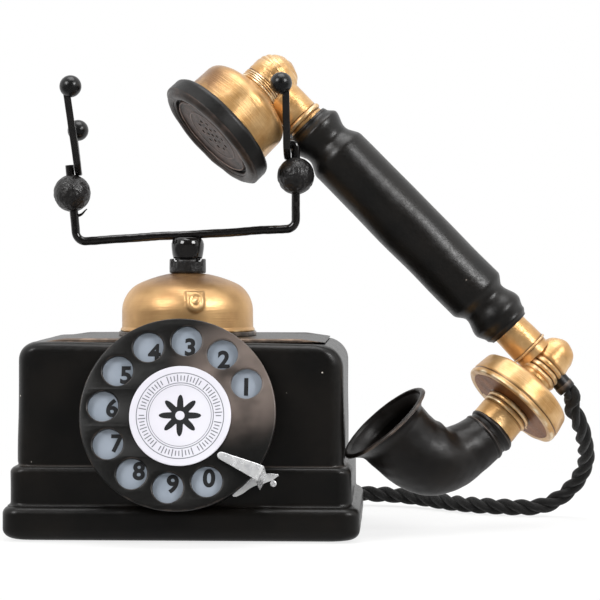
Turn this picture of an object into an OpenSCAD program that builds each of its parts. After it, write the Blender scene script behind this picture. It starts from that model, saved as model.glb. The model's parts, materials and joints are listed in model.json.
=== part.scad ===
// Antique table telephone: stepped case, tilted rotary dial, gong, fork cradle and a
// handset with a bent horn. Millimetres. Z is up, the dial faces -Y, and the origin is
// the centre of the felt under the foot. Handset parts are drawn along X in a frame of
// their own, dial parts along Z, and both are then set in place.

/* [Case] */
// Width of the foot moulding
foot_w = 165; // [158:0.5:180]
// Depth of the foot moulding
foot_d = 115; // [110:0.5:125]
// Height of the foot moulding above the table
foot_h = 16; // [15:0.5:20]
// Radius under the edge of the foot
foot_round = 8; // [4:0.5:9]
// Width of the plinth
plinth_w = 157; // [152:0.5:158]
// Depth of the plinth
plinth_d = 106; // [103:0.5:110]
// Height of the plinth
plinth_h = 18; // [14:0.5:24]
// Width of the case above the plinth
case_w = 149; // [140:0.5:151]
// Depth of the case above the plinth
case_d = 100.4; // [96:0.2:102]
// Height of the case above the plinth
case_h = 56.8; // [50:0.2:64]
// Radius of the long top edges at the sides
case_round = 8.5; // [4:0.5:10]
// Radius of the front and back top edges
case_front_round = 3; // [1:0.5:4]
// Radius of the upright corners
corner_r = 5; // [2:0.5:8]
// Thickness of the case walls
wall = 3; // [2.4:0.2:4]
// Thickness of the felt under the foot
felt_t = 1.2; // [0.8:0.1:2]
// Thickness of the foot's floor
floor_t = 3.4; // [2.6:0.2:5]
// Length of the raised top plate
top_plate_w = 132; // [120:1:134]
// Depth of the raised top plate
top_plate_d = 84; // [76:1:86]
// Thickness of the raised top plate
top_plate_t = 1.8; // [1.2:0.1:3]
// Length of the sloped ends of the top plate
top_slope = 12; // [4:1:16]
// Radius of the corner posts
post_r = 7; // [6:0.5:9]
// Shank radius of the case screws
screw_r = 2; // [1.5:0.1:2.4]
// Length of the case screws above the foot's floor
screw_l = 34; // [24:1:40]

/* [Bell] */
// Sideways place of the bell, plunger and cradle
bell_x = -1.2; // [-3:0.1:3]
// Radius of the gong at its wall
gong_r = 31.3; // [29:0.1:33]
// Radius of the round shoulder of the gong
gong_shoulder_r = 18; // [14:0.5:20]
// Radius of the crown of the gong
gong_crown_r = 40; // [36:0.5:50]
// Height of the straight part of the gong wall
gong_wall_h = 5.8; // [4:0.1:8]
// Thickness of the gong metal
gong_t = 2; // [1.4:0.1:2.4]
// Height of the seat ring under the gong
seat_h = 2.1; // [1.5:0.1:4]
// Outer radius of the seat ring
seat_r = 32.9; // [32:0.1:35]
// Width of the raised boss on the gong
boss_w = 8.8; // [7:0.1:10]
// Height of the raised boss on the gong
boss_h = 10.4; // [8:0.1:12]
// Radius of the castle nut
nut_r = 8.7; // [8.5:0.1:10]
// Height of the castle nut
nut_h = 7.1; // [6.5:0.1:9]
// Width of the slots in the castle nut
nut_slot = 6.6; // [4:0.1:8]
// Outer radius of the guide tube
guide_r = 5; // [4.4:0.1:5.5]
// Swing radius of the hammer ball about the bell axis
hammer_r = 24.6; // [23:0.1:25]
// Radius of the hammer ball
hammer_ball_r = 3; // [2:0.1:3.4]

/* [Dial] */
// Backward tilt of the dial, degrees
dial_tilt = 17.2; // [10:0.2:20]
// Reach of the wheel's centre in front of the case
dial_reach = 14.8; // [14:0.1:20]
// Height of the wheel's centre above the table
dial_z = 59.8; // [58:0.1:64]
// Radius of the finger wheel
wheel_r = 44.6; // [43.5:0.1:47]
// Thickness of the finger wheel
wheel_t = 3; // [2:0.1:3.4]
// Radius of the circle of finger holes
hole_pitch_r = 34.1; // [33:0.1:35]
// Radius of a finger hole
hole_r = 7; // [6:0.1:7.4]
// Angle of the first finger hole from the right, degrees
hole_start = 24.4; // [15:0.1:30]
// Angle between finger holes, degrees
hole_step = 30; // [28:0.5:30]
// Radius of the centre card
card_r = 23.1; // [18:0.1:24]
// Height of the centre card above the wheel
card_t = 0.9; // [0.5:0.1:1.5]
// Radius of the number plate
plate_r = 42; // [41:0.1:43]
// Radius of the dial case
dial_case_r = 41; // [38:0.1:42]
// Radius of the dial shaft
dial_shaft_r = 3; // [2.5:0.1:4]
// Teeth on the main gear
gear_teeth = 40; // [36:4:40]
// Teeth on the governor pinion
pinion_teeth = 10; // [9:1:10]
// Tooth module of the dial gears
gear_module = 0.8; // [0.7:0.05:0.8]
// Width of the finger stop at its tip
stop_tip_w = 3.4; // [3:0.1:5]
// Width of the finger stop at its root
stop_root_w = 7.2; // [6:0.1:9]
// Thickness of the finger stop
stop_t = 1.2; // [0.8:0.1:1.6]
// Angle of the finger stop below the right, degrees
stop_angle = 36; // [34:0.5:40]
// Turn of the finger stop's blade off the wheel's radius, degrees
stop_skew = 12; // [0:1:14]
// Length of the finger stop from its tip to its bend
stop_l = 21.5; // [20:0.5:22]

/* [Cradle] */
// Radius of the plunger rod
rod_r = 3; // [2.5:0.1:3.4]
// Largest radius of the plunger knob
knob_r = 7.8; // [7:0.1:7.8]
// Height of the plunger knob
knob_h = 10.3; // [9:0.1:12]
// Travel of the plunger
plunger_travel = 3; // [2:0.5:3]
// Radius of the cradle wire
wire_r = 1.9; // [1.5:0.1:2.2]
// Slope of the cross wire, degrees
wire_slope = 3.35; // [0:0.05:5]
// Left reach of the cross wire from the plunger
wire_left = 53.4; // [48:0.1:56]
// Right reach of the cross wire from the plunger
wire_right = 51.8; // [49:0.1:54]
// Lean of the left upright, degrees
left_lean = 5.4; // [0:0.1:8]
// Bend radius of the wire corners
wire_bend = 4.5; // [4:0.1:8]
// Length of the left upright to its bead's centre
left_up = 23.2; // [18:0.1:28]
// Length of the right upright to its bead's centre
right_up = 25.1; // [20:0.1:30]
// Radius of the hammered beads
bead_r = 8.4; // [7:0.1:9]
// Width and thickness of the fork bar
fork_t = 3.4; // [2.6:0.1:4]
// Half angle between the arms of a fork, degrees
fork_half = 38; // [32:0.5:42]
// Inner bend of a fork, measured at its middle line
fork_bend = 9; // [7:0.1:11]
// Straight length of the left fork's arms
fork_arm_left = 33; // [30:0.1:40]
// Straight length of the right fork's arms
fork_arm_right = 26.4; // [24:0.1:32]
// Backward pitch of the left fork, degrees
fork_pitch_left = 18; // [0:1:24]
// How far the left fork is turned about its upright, degrees
fork_turn_left = 7; // [0:0.5:10]
// Backward pitch of the right fork, degrees
fork_pitch_right = 18; // [16:1:20]
// Radius of the fork tip balls
tip_r = 5.2; // [4:0.1:6]
// Inward set of the tip balls from the fork's middle
tip_inset = 2.2; // [0:0.1:3]

/* [Handset] */
// Place of the ear end of the handset's axis, sideways
handset_x = 36.3; // [30:0.1:40]
// Place of the ear end of the handset's axis, in depth
handset_y = 11; // [10.5:0.1:13]
// Height of the ear end of the handset's axis
handset_z = 214; // [213.6:0.1:220]
// Slope of the handset's axis, degrees
handset_slope = 45.43; // [45:0.01:46]
// Roll of the handset towards the front, degrees
handset_roll = 16; // [10:0.5:20]
// Start of the grip along the handset
grip_start = 27.7; // [26:0.1:29]
// Length of the grip
grip_l = 138.3; // [137:0.1:140]
// Radius of the grip's barrel
grip_r = 15.1; // [12.5:0.1:15.5]
// Radius of the gilt necks
neck_r = 9.3; // [8:0.1:9.6]
// Radius of the ear knob
ear_knob_r = 11.2; // [10.6:0.1:12]
// Radius of the receiver can
can_r = 24.7; // [23:0.1:25]
// Radius of the ear cap
ear_cap_r = 30; // [28:0.1:31]
// Thickness of the can and cap walls
can_wall = 1.5; // [1:0.1:2]
// Radius of the perforated ear plate
ear_plate_r = 23.2; // [20:0.1:23.4]
// Length from the grip's lower end to the mouth knob's axis
mouth_neck_l = 26.1; // [25:0.1:30]
// Radius of the mouth knob
mouth_knob_r = 9.8; // [9.5:0.1:10.4]
// Tilt of the transmitter away from the ear, degrees
transmitter_tilt = 3; // [0:0.5:4]
// Radius of the transmitter disc
disc_r = 24.7; // [22:0.1:26]
// Radius of the horn's gilt neck
horn_neck_r = 11.5; // [10:0.1:12]
// Radius of the horn's bend
horn_bend_r = 23.5; // [22:0.5:26]
// Turn of the horn's bend, degrees
horn_bend = 96; // [86:1:100]
// Turn of the horn towards the front, degrees
horn_turn = 12; // [8:1:16]
// Radius of the horn's rim
horn_rim_r = 24.5; // [22:0.1:25]
// Thickness of the horn's wall
horn_wall = 2; // [1.4:0.1:2.4]
// Radius of the tie rod through the grip
tie_rod_r = 3; // [2:0.1:4]

/* [Cord] */
// Radius of the twisted handset cord
cord_r = 4.2; // [3:0.1:4.5]
// Sideways place of the cord's gland in the back
gland_x = 44; // [40:0.5:46]
// Height of the cord's gland
gland_z = 8.8; // [8.4:0.1:9.5]

/* [Hidden] */
$fn = 64;

fit = 0.05;             // running and seating clearance
gap = 0.3;              // clearance between curved faces of moving pieces
steps = 8;              // segments in a quarter of a moulded edge
black = "#1b1a19";
gilt = "#c9974a";
steel = "#b9bcc0";
bakelite = "#3a2318";

// Heights of the case
felt_proud = 0.5;
floor_z = felt_t + floor_t;
plinth_top = foot_h + plinth_h;
case_top = plinth_top + case_h;
ceiling_z = case_top - wall;
top_z = case_top + top_plate_t;
inner_w = case_w - 2 * wall;
inner_d = case_d - 2 * wall;
post_x = inner_w / 2 - post_r + 0.8;
post_y = inner_d / 2 - post_r + 0.8;
screw_head_r = screw_r + 1.6;
screw_head_h = 3;

// Bell and plunger, from the top plate upwards
rim_z = top_z + seat_h;
shoulder_x = gong_r - gong_shoulder_r;
crown_z = gong_wall_h - sqrt(pow(gong_crown_r - gong_shoulder_r, 2) - pow(shoulder_x, 2));
shoulder_end = asin((gong_wall_h - crown_z) / (gong_crown_r - gong_shoulder_r));
gong_land_r = nut_r - 1.6;
gong_land_z = crown_z + sqrt(pow(gong_crown_r, 2) - pow(gong_land_r, 2));
gong_top = rim_z + gong_land_z;
guide_flange_r = 8;
guide_flange_h = 2.4;
gong_hub_t = 3.4;
nut_top = gong_top + nut_h;
nut_base_h = 2.6;
knob_z = nut_top - 0.2;
knob_arc = 18;
knob_belly = 6.2;
knob_foot_r = knob_r - knob_arc + sqrt(pow(knob_arc, 2) - pow(knob_belly, 2));
wire_z = knob_z + knob_h + 1.1;
guide_bottom = ceiling_z - 6;
collar_h = 4;
collar_top = guide_bottom - gap;
collar_r = 7;
bracket_z = 48;
bracket_t = 2;
spring_low = bracket_z + bracket_t;
rod_low = bracket_z - 8;
spring_wire_r = 0.7;
spring_turns = 7;

// Ringer, hung under the case top behind the plunger
ringer_y = 20;
ringer_half = 26;
ringer_d = 16;
pivot_z = 71;
coil_x = 14;
yoke_z = 40;
hammer_z = rim_z + 5.3;
hammer_x = sqrt(pow(hammer_r, 2) - pow(ringer_y, 2));
slot_low = 4.5;
slot_high = hammer_x + 0.4;
slot_w = 5;

// Dial frame: local Z leaves the wheel's face, local Y climbs the wheel
dial_y = -(case_d / 2 + dial_reach);
plate_gap = 0.6;
plate_t = 1.3;
plate_front = -wheel_t - plate_gap;
well_z = plate_front - plate_t;      // front face of the dial case
front_t = 2.5;
dial_case_t = 4.6;
well_r = 27;
gear_r = gear_module * gear_teeth / 2;
pinion_r = gear_module * pinion_teeth / 2;
gear_distance = gear_r + pinion_r + 0.15;
gear_t = 3;
drum_front = well_z - front_t - 1;
drum_t = 5.5;
gear_front = drum_front - drum_t - 1.6;
cam_front = gear_front - gear_t - 2;
cam_t = 2.5;
cam_r = 9;
frame_front = cam_front - cam_t - 4;
frame_t = 2;
frame_r = well_r - 1;
pillar_r = 2.2;
pillar_ring_r = frame_r - pillar_r - 0.3;
pillar_angles = [60, 120, 300];
governor_angle = 180;
governor_r = 5.5;
governor_shaft_r = 1.2;
stop_lift = 0.8;                     // finger stop's height over the wheel
stop_root_r = wheel_r + 1.6;

// Cradle frame: X and Z from where the wire crosses the plunger
left_corner = [-wire_left, -wire_left * tan(wire_slope)];
right_corner = [wire_right, wire_right * tan(wire_slope)];
left_dir = [-sin(left_lean), cos(left_lean)];
right_dir = [0, 1];
left_bead = left_corner + left_up * left_dir;
right_bead = right_corner + right_up * right_dir;
fork_clear = 0.15;
left_side = (wire_r + fork_t / 2 + 0.35) * [cos(left_lean), sin(left_lean)];
left_vertex = left_bead + (bead_r + fork_t / 2 + fork_clear) * left_dir + left_side;
left_stub = bead_r + fork_t / 2 + 4;
right_set = wire_r + 0.4;            // from the right upright's middle to the fork's side
right_vertex = right_bead
    + [-right_set - fork_t / 2, sqrt(pow(bead_r, 2) - pow(right_set, 2)) + fork_clear + fork_t / 2];
hook_r = (right_bead[0] - right_vertex[0]) / 2;
hook_end = right_vertex[1] + fork_t / 2 + wire_r * tan(fork_pitch_right) + 0.8;
hook_rise = hook_end - right_bead[1] + 0.6;

// Terminal block, induction coil and capacitor on the floor of the case
terminal_at = [-50, 30];
terminal_size = [40, 12, 9];
terminal_pitch = 8;
terminal_screw_r = 2.4;
coil_at = [48, -25];
coil_l = 40;
coil_cheek = 20;
coil_flange = 3;
capacitor_at = [-62, -24];
capacitor_size = [20, 30, 36];

// Handset: depths are measured from its axis towards the ear and mouth faces
knob_lift = 4.5;
ear_seat = 7.1;
can_depth = 29;
cap_depth = 26.5;
cap_face = 39.3;
grip_end = grip_start + grip_l;
mouth_axis = grip_end + mouth_neck_l;
neck_inset = 7;
tie_rod_inset = 8;
bush_r = 5.4;
bush_l = 8;
bush_tilt = 3;
bush_depth = 3;
bush_seat = mouth_knob_r - bush_depth;
horn_start = 40.2;
horn_collar = 8.1;
horn_straight = 13.2;
horn_flare = 13;
horn_throat_r = 12.8;
horn_bell_r = 18.2;
horn_bore_r = 9.4;
horn_sides = 24;

// Cord's route between bush and gland, then the gland's nose
gland_nose = 12;
cord_sides = 10;
cord_route = [
    [187.5, 17, 55], [191, 23, 46.5], [192.5, 30, 37.5], [193, 39, 29], [190.5, 47, 20.5],
    [184, 52, 12.5], [176, 54, 7], [167, 55, 4.6], [155, 58, 4.3], [143, 63.5, 4.3],
    [132, 71, 4.3], [120.5, 81, 4.6], [108, 91, 5.4], [95, 97, 5.9], [82, 99, 6.2],
    [69, 97.5, 6.8], [57.5, 93, 7.5], [49, 86, 8.2]
];

// Points on an arc about c, from angle a0 to a1
function arc(c, r, a0, a1, n = steps) =
    [for (i = [0:n]) let (a = a0 + (a1 - a0) * i / n) [c[0] + r * cos(a), c[1] + r * sin(a)]];

// One corner of an outline: an arc, or the corner itself where r is 0
function corner(x, y, r, a0) = r > 0 ? arc([x, y], r, a0, a0 + 90) : [[x, y]];

// Outline w wide and h high, standing on Y = 0, with its own radii above and below
function outline(w, h, above, below) = concat(
    corner(w / 2 - below, below, below, -90),
    corner(w / 2 - above, h - above, above, 0),
    corner(above - w / 2, h - above, above, 90),
    corner(below - w / 2, below, below, 180)
);

// Stations [x, r] joined by curves that leave and reach each station level
function waves(s, n = 5) = concat([s[0]], [
    for (k = [1:len(s) - 1]) for (i = [1:n])
        let (f = i / n, e = (1 - cos(180 * f)) / 2)
        [s[k - 1][0] + (s[k][0] - s[k - 1][0]) * f, s[k - 1][1] + (s[k][1] - s[k - 1][1]) * e]
]);

// Swap an [x, r] profile to [r, x] and close it on the axis
function on_axis(p) = concat([[0, p[0][0]]], [for (q = p) [q[1], q[0]]], [[0, p[len(p) - 1][0]]]);

function unit(v) = v / norm(v);

// A ring of n points about c, square to t
function ring(c, t, r, n, up) =
    let (s = unit(cross(t, up)), q = cross(s, t))
    [for (j = [0:n - 1]) c + r * (cos(360 * j / n) * s + sin(360 * j / n) * q)];

// Quads that join ring a to ring b of n points, as triangles
function skin(a, b, n) = [
    for (j = [0:n - 1]) let (k = (j + 1) % n)
        each [[a * n + j, a * n + k, b * n + k], [a * n + j, b * n + k, b * n + j]]
];

// A solid tube of radius r along path p
module tube(p, r, n, up = [0, 0, 1]) {
    last = len(p) - 1;
    dirs = [for (i = [0:last]) unit(p[min(i + 1, last)] - p[max(i - 1, 0)])];
    points = [for (i = [0:last]) each ring(p[i], dirs[i], r, n, up)];
    walls = [for (i = [0:last - 1]) each skin(i, i + 1, n)];
    low = [for (j = [1:n - 2]) [0, j + 1, j]];
    high = [for (j = [1:n - 2]) last * n * [1, 1, 1] + [0, j, j + 1]];
    polyhedron(points, concat(walls, low, high));
}

// A block with rounded edges: front outline, side outline and plan together
module moulding(w, d, h, side, front, under, plan) {
    intersection() {
        rotate([90, 0, 0]) linear_extrude(d, center = true) polygon(outline(w, h, side, under));
        rotate([90, 0, 90]) linear_extrude(w, center = true) polygon(outline(d, h, front, under));
        linear_extrude(h) rounded(w, d, plan);
    }
}

// A rounded rectangle about the origin
module rounded(w, d, r) {
    translate([0, -d / 2]) polygon(outline(w, d, r, r));
}

// A ring from z0 to z1
module tube_ring(outer, inner, z0, z1) {
    translate([0, 0, z0]) difference() {
        cylinder(r = outer, h = z1 - z0);
        translate([0, 0, -1]) cylinder(r = inner, h = z1 - z0 + 2);
    }
}

// A rod from z0 to z1
module rod(r, z0, z1) {
    translate([0, 0, z0]) cylinder(r = r, h = z1 - z0);
}

module turned(points) {
    rotate_extrude() polygon(points);
}

module corners(x, y) {
    for (sx = [-1, 1], sy = [-1, 1]) translate([sx * x, sy * y, 0]) children();
}

// Frames: the bell's axis, the dial's face, the cradle's crossing and the handset
module on_bell() { translate([bell_x, 0, 0]) children(); }

module on_dial() { translate([0, dial_y, dial_z]) rotate([90 - dial_tilt, 0, 0]) children(); }

module on_cradle() { translate([bell_x, 0, wire_z]) children(); }

module on_handset() {
    translate([handset_x, handset_y, handset_z])
        rotate([0, handset_slope, 0]) rotate([-handset_roll, 0, 0]) children();
}

module along_handset() { on_handset() rotate([0, 90, 0]) children(); }

module on_ear() { on_handset() translate([0.5, 0, 0]) rotate([180, 0, 0]) children(); }

module on_mouth() {
    on_handset() translate([mouth_axis, 0, 0])
        rotate([0, -transmitter_tilt, 0]) rotate([180, 0, 0]) children();
}

// A point of the handset's own frame, in place
function on_handset_point(p) =
    let (y = p[1] * cos(handset_roll) + p[2] * sin(handset_roll),
         z = p[2] * cos(handset_roll) - p[1] * sin(handset_roll))
    [handset_x + p[0] * cos(handset_slope) + z * sin(handset_slope), handset_y + y,
     handset_z - p[0] * sin(handset_slope) + z * cos(handset_slope)];

// A point on the cord bush's middle line, l from the mouth axis
function on_bush(l) = on_handset_point([mouth_axis + l * cos(bush_tilt), 0, -l * sin(bush_tilt)]);

module along_bush() {
    on_handset() translate([mouth_axis, 0, 0]) rotate([0, 90 + bush_tilt, 0]) children();
}

// ---- Case ----

module felt_outline(grow = 0) {
    rounded(foot_w - 2 * foot_round + 2 * grow, foot_d - 2 * foot_round + 2 * grow, corner_r);
}

module felt_pad() {
    color("#2c2f2b") linear_extrude(felt_t) felt_outline(-1);
}

module foot_body() {
    translate([0, 0, felt_proud])
        moulding(foot_w, foot_d, foot_h - felt_proud, 4, 4, foot_round - felt_proud, corner_r);
}

module inner_space(z0, z1) {
    translate([0, 0, z0]) linear_extrude(z1 - z0) rounded(inner_w, inner_d, corner_r - wall / 2);
}

module gland_place() { translate([gland_x, 0, gland_z]) rotate([-90, 0, 0]) children(); }

module foot_base() {
    color(black) difference() {
        foot_body();
        translate([0, 0, felt_proud - 1]) linear_extrude(felt_t - felt_proud + 1) felt_outline(-0.9);
        difference() {
            inner_space(floor_z, foot_h + 1);
            corners(post_x, post_y) rod(post_r, 0, foot_h + 2);
        }
        corners(post_x, post_y) {
            rod(screw_r + 0.3, 0, foot_h + 2);
            rod(screw_head_r + 0.3, 0, felt_t + screw_head_h + 0.6);
        }
        gland_place() rod(gland_body_r + fit, inner_d / 2 - 3, foot_d / 2 + 3);
    }
}

gland_body_r = cord_r + 1.6;

// Outside of the plinth and the case above it
module case_body() {
    translate([0, 0, foot_h]) moulding(plinth_w, plinth_d, plinth_h, 3, 3, 0, corner_r);
    translate([0, 0, foot_h])
        moulding(case_w, case_d, case_top - foot_h, case_round, case_front_round, 0, corner_r);
}

module hammer_slot(z0, z1) {
    translate([bell_x + slot_low, ringer_y - slot_w / 2, z0])
        cube([slot_high - slot_low, slot_w, z1 - z0]);
}

module housing() {
    color(black) difference() {
        case_body();
        difference() {
            inner_space(foot_h - 1, ceiling_z);
            corners(post_x, post_y) rod(post_r, foot_h - 2, screw_l + 12);
        }
        corners(post_x, post_y) rod(screw_r + fit, foot_h - 1, screw_l + 6);
        on_bell() rod(guide_r + fit, ceiling_z - 1, case_top + 1);
        hammer_slot(ceiling_z - 1, case_top + 1);
        on_dial() rod(well_r, -36, 0);
        stop_screw_hole();
    }
}

module top_plate() {
    half = top_plate_w / 2;
    ends = [[-half, 0], [half, 0], [half - top_slope, top_plate_t], [top_slope - half, top_plate_t]];
    color(black) difference() {
        translate([0, 0, case_top]) intersection() {
            rotate([90, 0, 0]) linear_extrude(top_plate_d, center = true) polygon(ends);
            rotate([90, 0, 90]) linear_extrude(top_plate_w, center = true)
                polygon(outline(top_plate_d, top_plate_t, top_plate_t * 0.7, 0));
        }
        on_bell() rod(guide_r + fit, case_top - 1, top_z + 1);
        hammer_slot(case_top - 1, top_z + 1);
    }
}

module case_screws() {
    color(steel) corners(post_x, post_y) {
        rod(screw_head_r, felt_t + 0.3, felt_t + 0.3 + screw_head_h);
        rod(screw_r, felt_t + screw_head_h, screw_l + floor_z);
    }
}

// ---- Dial ----

module dial_case() {
    color(black) difference() {
        on_dial() rod(dial_case_r, -40, well_z);
        // Above the case only a plate remains, behind that the case takes its place
        difference() {
            on_dial() translate([0, 0, well_z - dial_case_t - 50]) cylinder(r = 60, h = 50);
            translate([-100, -case_d / 2 - 100, -100]) cube([200, 100, 300]);
        }
        case_body();
        translate([-100, -100, -100]) cube([200, 200, 100 + foot_h]);
        translate([-100, -case_d / 2 + 2, -1]) cube([200, 60, case_top + 1]);
        on_dial() {
            rod(well_r, -60, well_z - front_t);
            rod(dial_shaft_r + fit, -60, 1);
            rotate(governor_angle) translate([gear_distance, 0, 0])
                rod(governor_shaft_r + fit, -60, well_z - front_t + 1.5);
        }
    }
}

module number_plate() {
    color("#c9d3e2") on_dial() tube_ring(plate_r, dial_shaft_r + gap, well_z, plate_front);
}

module wheel_holes() {
    for (k = [0:9]) rotate(hole_start + k * hole_step) translate([hole_pitch_r, 0, 0]) children();
}

module finger_wheel() {
    edge = 1;
    color(black) on_dial() difference() {
        turned(concat(
            [[0, -wheel_t]],
            arc([wheel_r - edge, edge - wheel_t], edge, -90, 0, 4),
            arc([wheel_r - edge, -edge], edge, 0, 90, 4),
            [[0, 0]]
        ));
        rod(dial_shaft_r + fit, -wheel_t - 1, 1);
        wheel_holes() rod(hole_r, -wheel_t - 1, 1);
    }
}

module dial_card() {
    color("white") on_dial() turned(concat(
        [[0, 0], [card_r, 0]], arc([card_r - 0.4, card_t - 0.4], 0.4, 0, 90, 3), [[0, card_t]]
    ));
}

module dial_shaft() {
    color(steel) on_dial() rod(dial_shaft_r, frame_front - frame_t - 2, -fit);
}

// A gear with straight-sided teeth, thin enough to turn freely
module gear(teeth, t) {
    r = gear_module * teeth / 2;
    root = r - 1.1 * gear_module;
    tip = r + 0.75 * gear_module;
    foot_half = 0.5 * gear_module / root * 180 / PI * 1.35;
    tip_half = 0.5 * gear_module / tip * 180 / PI * 0.75;
    linear_extrude(t) polygon([
        for (k = [0:teeth - 1]) let (a = 360 * k / teeth) each [
            root * [cos(a - foot_half), sin(a - foot_half)],
            tip * [cos(a - tip_half), sin(a - tip_half)],
            tip * [cos(a + tip_half), sin(a + tip_half)],
            root * [cos(a + foot_half), sin(a + foot_half)]
        ]
    ]);
}

module main_gear() {
    color("#c8a24e") on_dial() difference() {
        translate([0, 0, gear_front - gear_t]) rotate(governor_angle) gear(gear_teeth, gear_t);
        rod(dial_shaft_r + fit, gear_front - gear_t - 1, gear_front + 1);
        for (k = [0:3]) rotate(45 + 90 * k) translate([gear_r * 0.55, 0, gear_front - gear_t - 1])
            cylinder(r = gear_r * 0.2, h = gear_t + 2);
    }
}

module spring_drum() {
    color(steel) on_dial() difference() {
        union() {
            rod(gear_r * 0.85, drum_front - drum_t, drum_front);
            rod(dial_shaft_r + 2, gear_front + fit, drum_front);
        }
        rod(dial_shaft_r + fit, gear_front - 1, drum_front + 1);
    }
}

module pulse_cam() {
    color(bakelite) on_dial() difference() {
        rod(cam_r, cam_front - cam_t, cam_front);
        rod(dial_shaft_r + fit, cam_front - cam_t - 1, cam_front + 1);
        for (k = [0:9]) rotate(30 * k) translate([cam_r, 0, cam_front - cam_t - 1])
            cylinder(r = 1.2, h = cam_t + 2);
    }
}

module governor() {
    low = frame_front - frame_t - 1;
    color("#c8a24e") on_dial() rotate(governor_angle) translate([gear_distance, 0, 0]) {
        rod(governor_shaft_r, low, well_z - front_t + 1);
        translate([0, 0, gear_front - gear_t - 0.5]) rotate(180 / pinion_teeth)
            gear(pinion_teeth, gear_t + 1);
        rod(governor_r, frame_front + 1, frame_front + 5.5);
    }
}

module dial_frame() {
    color(steel) on_dial() {
        difference() {
            rod(frame_r, frame_front - frame_t, frame_front);
            rod(dial_shaft_r + fit, frame_front - frame_t - 1, frame_front + 1);
            rotate(governor_angle) translate([gear_distance, 0, 0])
                rod(governor_shaft_r + fit, frame_front - frame_t - 1, frame_front + 1);
        }
        for (a = pillar_angles) rotate(a) translate([pillar_ring_r, 0, 0])
            rod(pillar_r, frame_front, well_z - front_t);
    }
}

// Contact block on the dial's frame, with two leaves that reach the cam
module pulse_contacts() {
    color(bakelite) on_dial() translate([0, 0, frame_front]) {
        translate([cam_r + 5, -4, 0]) cube([8, 8, 3.5]);
        for (s = [-1, 1]) translate([cam_r + 0.6, s * 2 - 0.3, 3.5]) cube([8, 0.6, 4]);
    }
}

// Finger stop: a tapered blade over the wheel, a side leg and a foot on the plinth
stop_foot_y = -plinth_d / 2;
module stop_place() {
    on_dial() rotate(-stop_angle) translate([stop_root_r, 0, 0]) rotate(stop_skew) children();
}

module finger_stop() {
    tip = stop_tip_w / 2;
    root = stop_root_w / 2;
    blade = concat(
        arc([stop_t - stop_l + tip, 0], tip, 90, 270),
        [[stop_t, -root], [stop_t, root]]
    );
    color(steel) difference() {
        union() {
            stop_place() translate([0, 0, stop_lift]) linear_extrude(stop_t) polygon(blade);
            stop_leg();
            stop_pad();
        }
        stop_screw_hole();
    }
}

module stop_leg() {
    intersection() {
        stop_place() translate([0, -stop_root_w / 2, -50])
            cube([stop_t, stop_root_w, 50 + stop_lift + stop_t]);
        translate([0, stop_foot_y - 60, 0]) cube([100, 60, 100]);
    }
}

// Foot of the stop, flat on the plinth's face
function stop_root_x() = (stop_root_r + stop_t) * cos(stop_angle);
stop_pad_z = plinth_top - 7.4;
module stop_pad() {
    translate([stop_root_x() - 4, stop_foot_y - stop_t, stop_pad_z - 3.5]) cube([13, stop_t, 8]);
}

module stop_screw_place() {
    translate([stop_root_x() + 4.6, stop_foot_y, stop_pad_z + 0.5]) rotate([90, 0, 0]) children();
}

module stop_screw_hole() { stop_screw_place() rod(1.4, -9, 3); }

module stop_screw() {
    color(steel) stop_screw_place() {
        rod(1.4 - fit, -4, stop_t + 0.5);
        turned(concat([[0, stop_t + fit]], arc([0, stop_t + fit], 2.6, 0, 45, 4), [[0, stop_t + 1.9]]));
    }
}

// ---- Bell ----

module bell_seat() {
    color(black) on_bell() translate([0, 0, top_z]) turned(concat(
        [[gong_r - 4, 0]],
        [[seat_r, 0]],
        arc([seat_r - 0.6, seat_h - 0.6], 0.6, 0, 90, 4),
        [[gong_r - 4, seat_h]]
    ));
}

module gong() {
    inner_shoulder = gong_shoulder_r - gong_t;
    inner_crown = gong_crown_r - gong_t;
    hub_z = gong_land_z - gong_hub_t;
    hub_angle = acos((guide_flange_r + 1) / inner_crown);
    color(gilt) on_bell() translate([0, 0, rim_z]) {
        difference() {
            union() {
                turned(concat(
                    [[0, 0], [gong_r + 0.6, 0], [gong_r + 0.6, 1], [gong_r, 1.6]],
                    arc([shoulder_x, gong_wall_h], gong_shoulder_r, 0, shoulder_end, 10),
                    arc([0, crown_z], gong_crown_r, shoulder_end,
                        acos(gong_land_r / gong_crown_r), 8),
                    [[0, gong_land_z]]
                ));
                gong_boss();
            }
            turned(concat(
                [[0, -1], [gong_r - gong_t, -1]],
                arc([shoulder_x, gong_wall_h], inner_shoulder, 0, shoulder_end, 10),
                arc([0, crown_z], inner_crown, shoulder_end, hub_angle, 6),
                [[guide_flange_r + 1, hub_z], [0, hub_z]]
            ));
            rod(guide_r + fit, hub_z - 1, gong_land_z + 1);
        }
    }
}

// Raised boss on the front of the gong, square to its shoulder
module gong_boss() {
    a = 30;
    r = shoulder_x + gong_shoulder_r * cos(a);
    z = gong_wall_h + gong_shoulder_r * sin(a);
    rotate(6.5) translate([0, -r, z]) rotate([90 - a, 0, 0]) {
        translate([0, boss_h / 2 - boss_w / 2, -1.5]) cylinder(r = boss_w / 2, h = 3.5);
        translate([-boss_w / 2, -boss_h / 2, -1.5]) cube([boss_w, boss_h - boss_w / 2, 3.5]);
    }
}

module crown_nut() {
    mouth = knob_r + 0.15;
    seat = knob_foot_r + gap;
    color(black) on_bell() translate([0, 0, gong_top]) difference() {
        turned([
            [0, 0], [nut_r, 0], [nut_r, nut_h - 0.8], [nut_r - 0.5, nut_h], [mouth, nut_h],
            [seat, nut_h - plunger_travel - 0.6], [seat, nut_base_h], [0, nut_base_h]
        ]);
        rod(guide_r + fit, -1, nut_base_h + 1);
        for (a = [45, 135]) rotate(a)
            translate([-nut_r - 1, -nut_slot / 2, nut_base_h]) cube([2 * nut_r + 2, nut_slot, nut_h]);
    }
}

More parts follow.
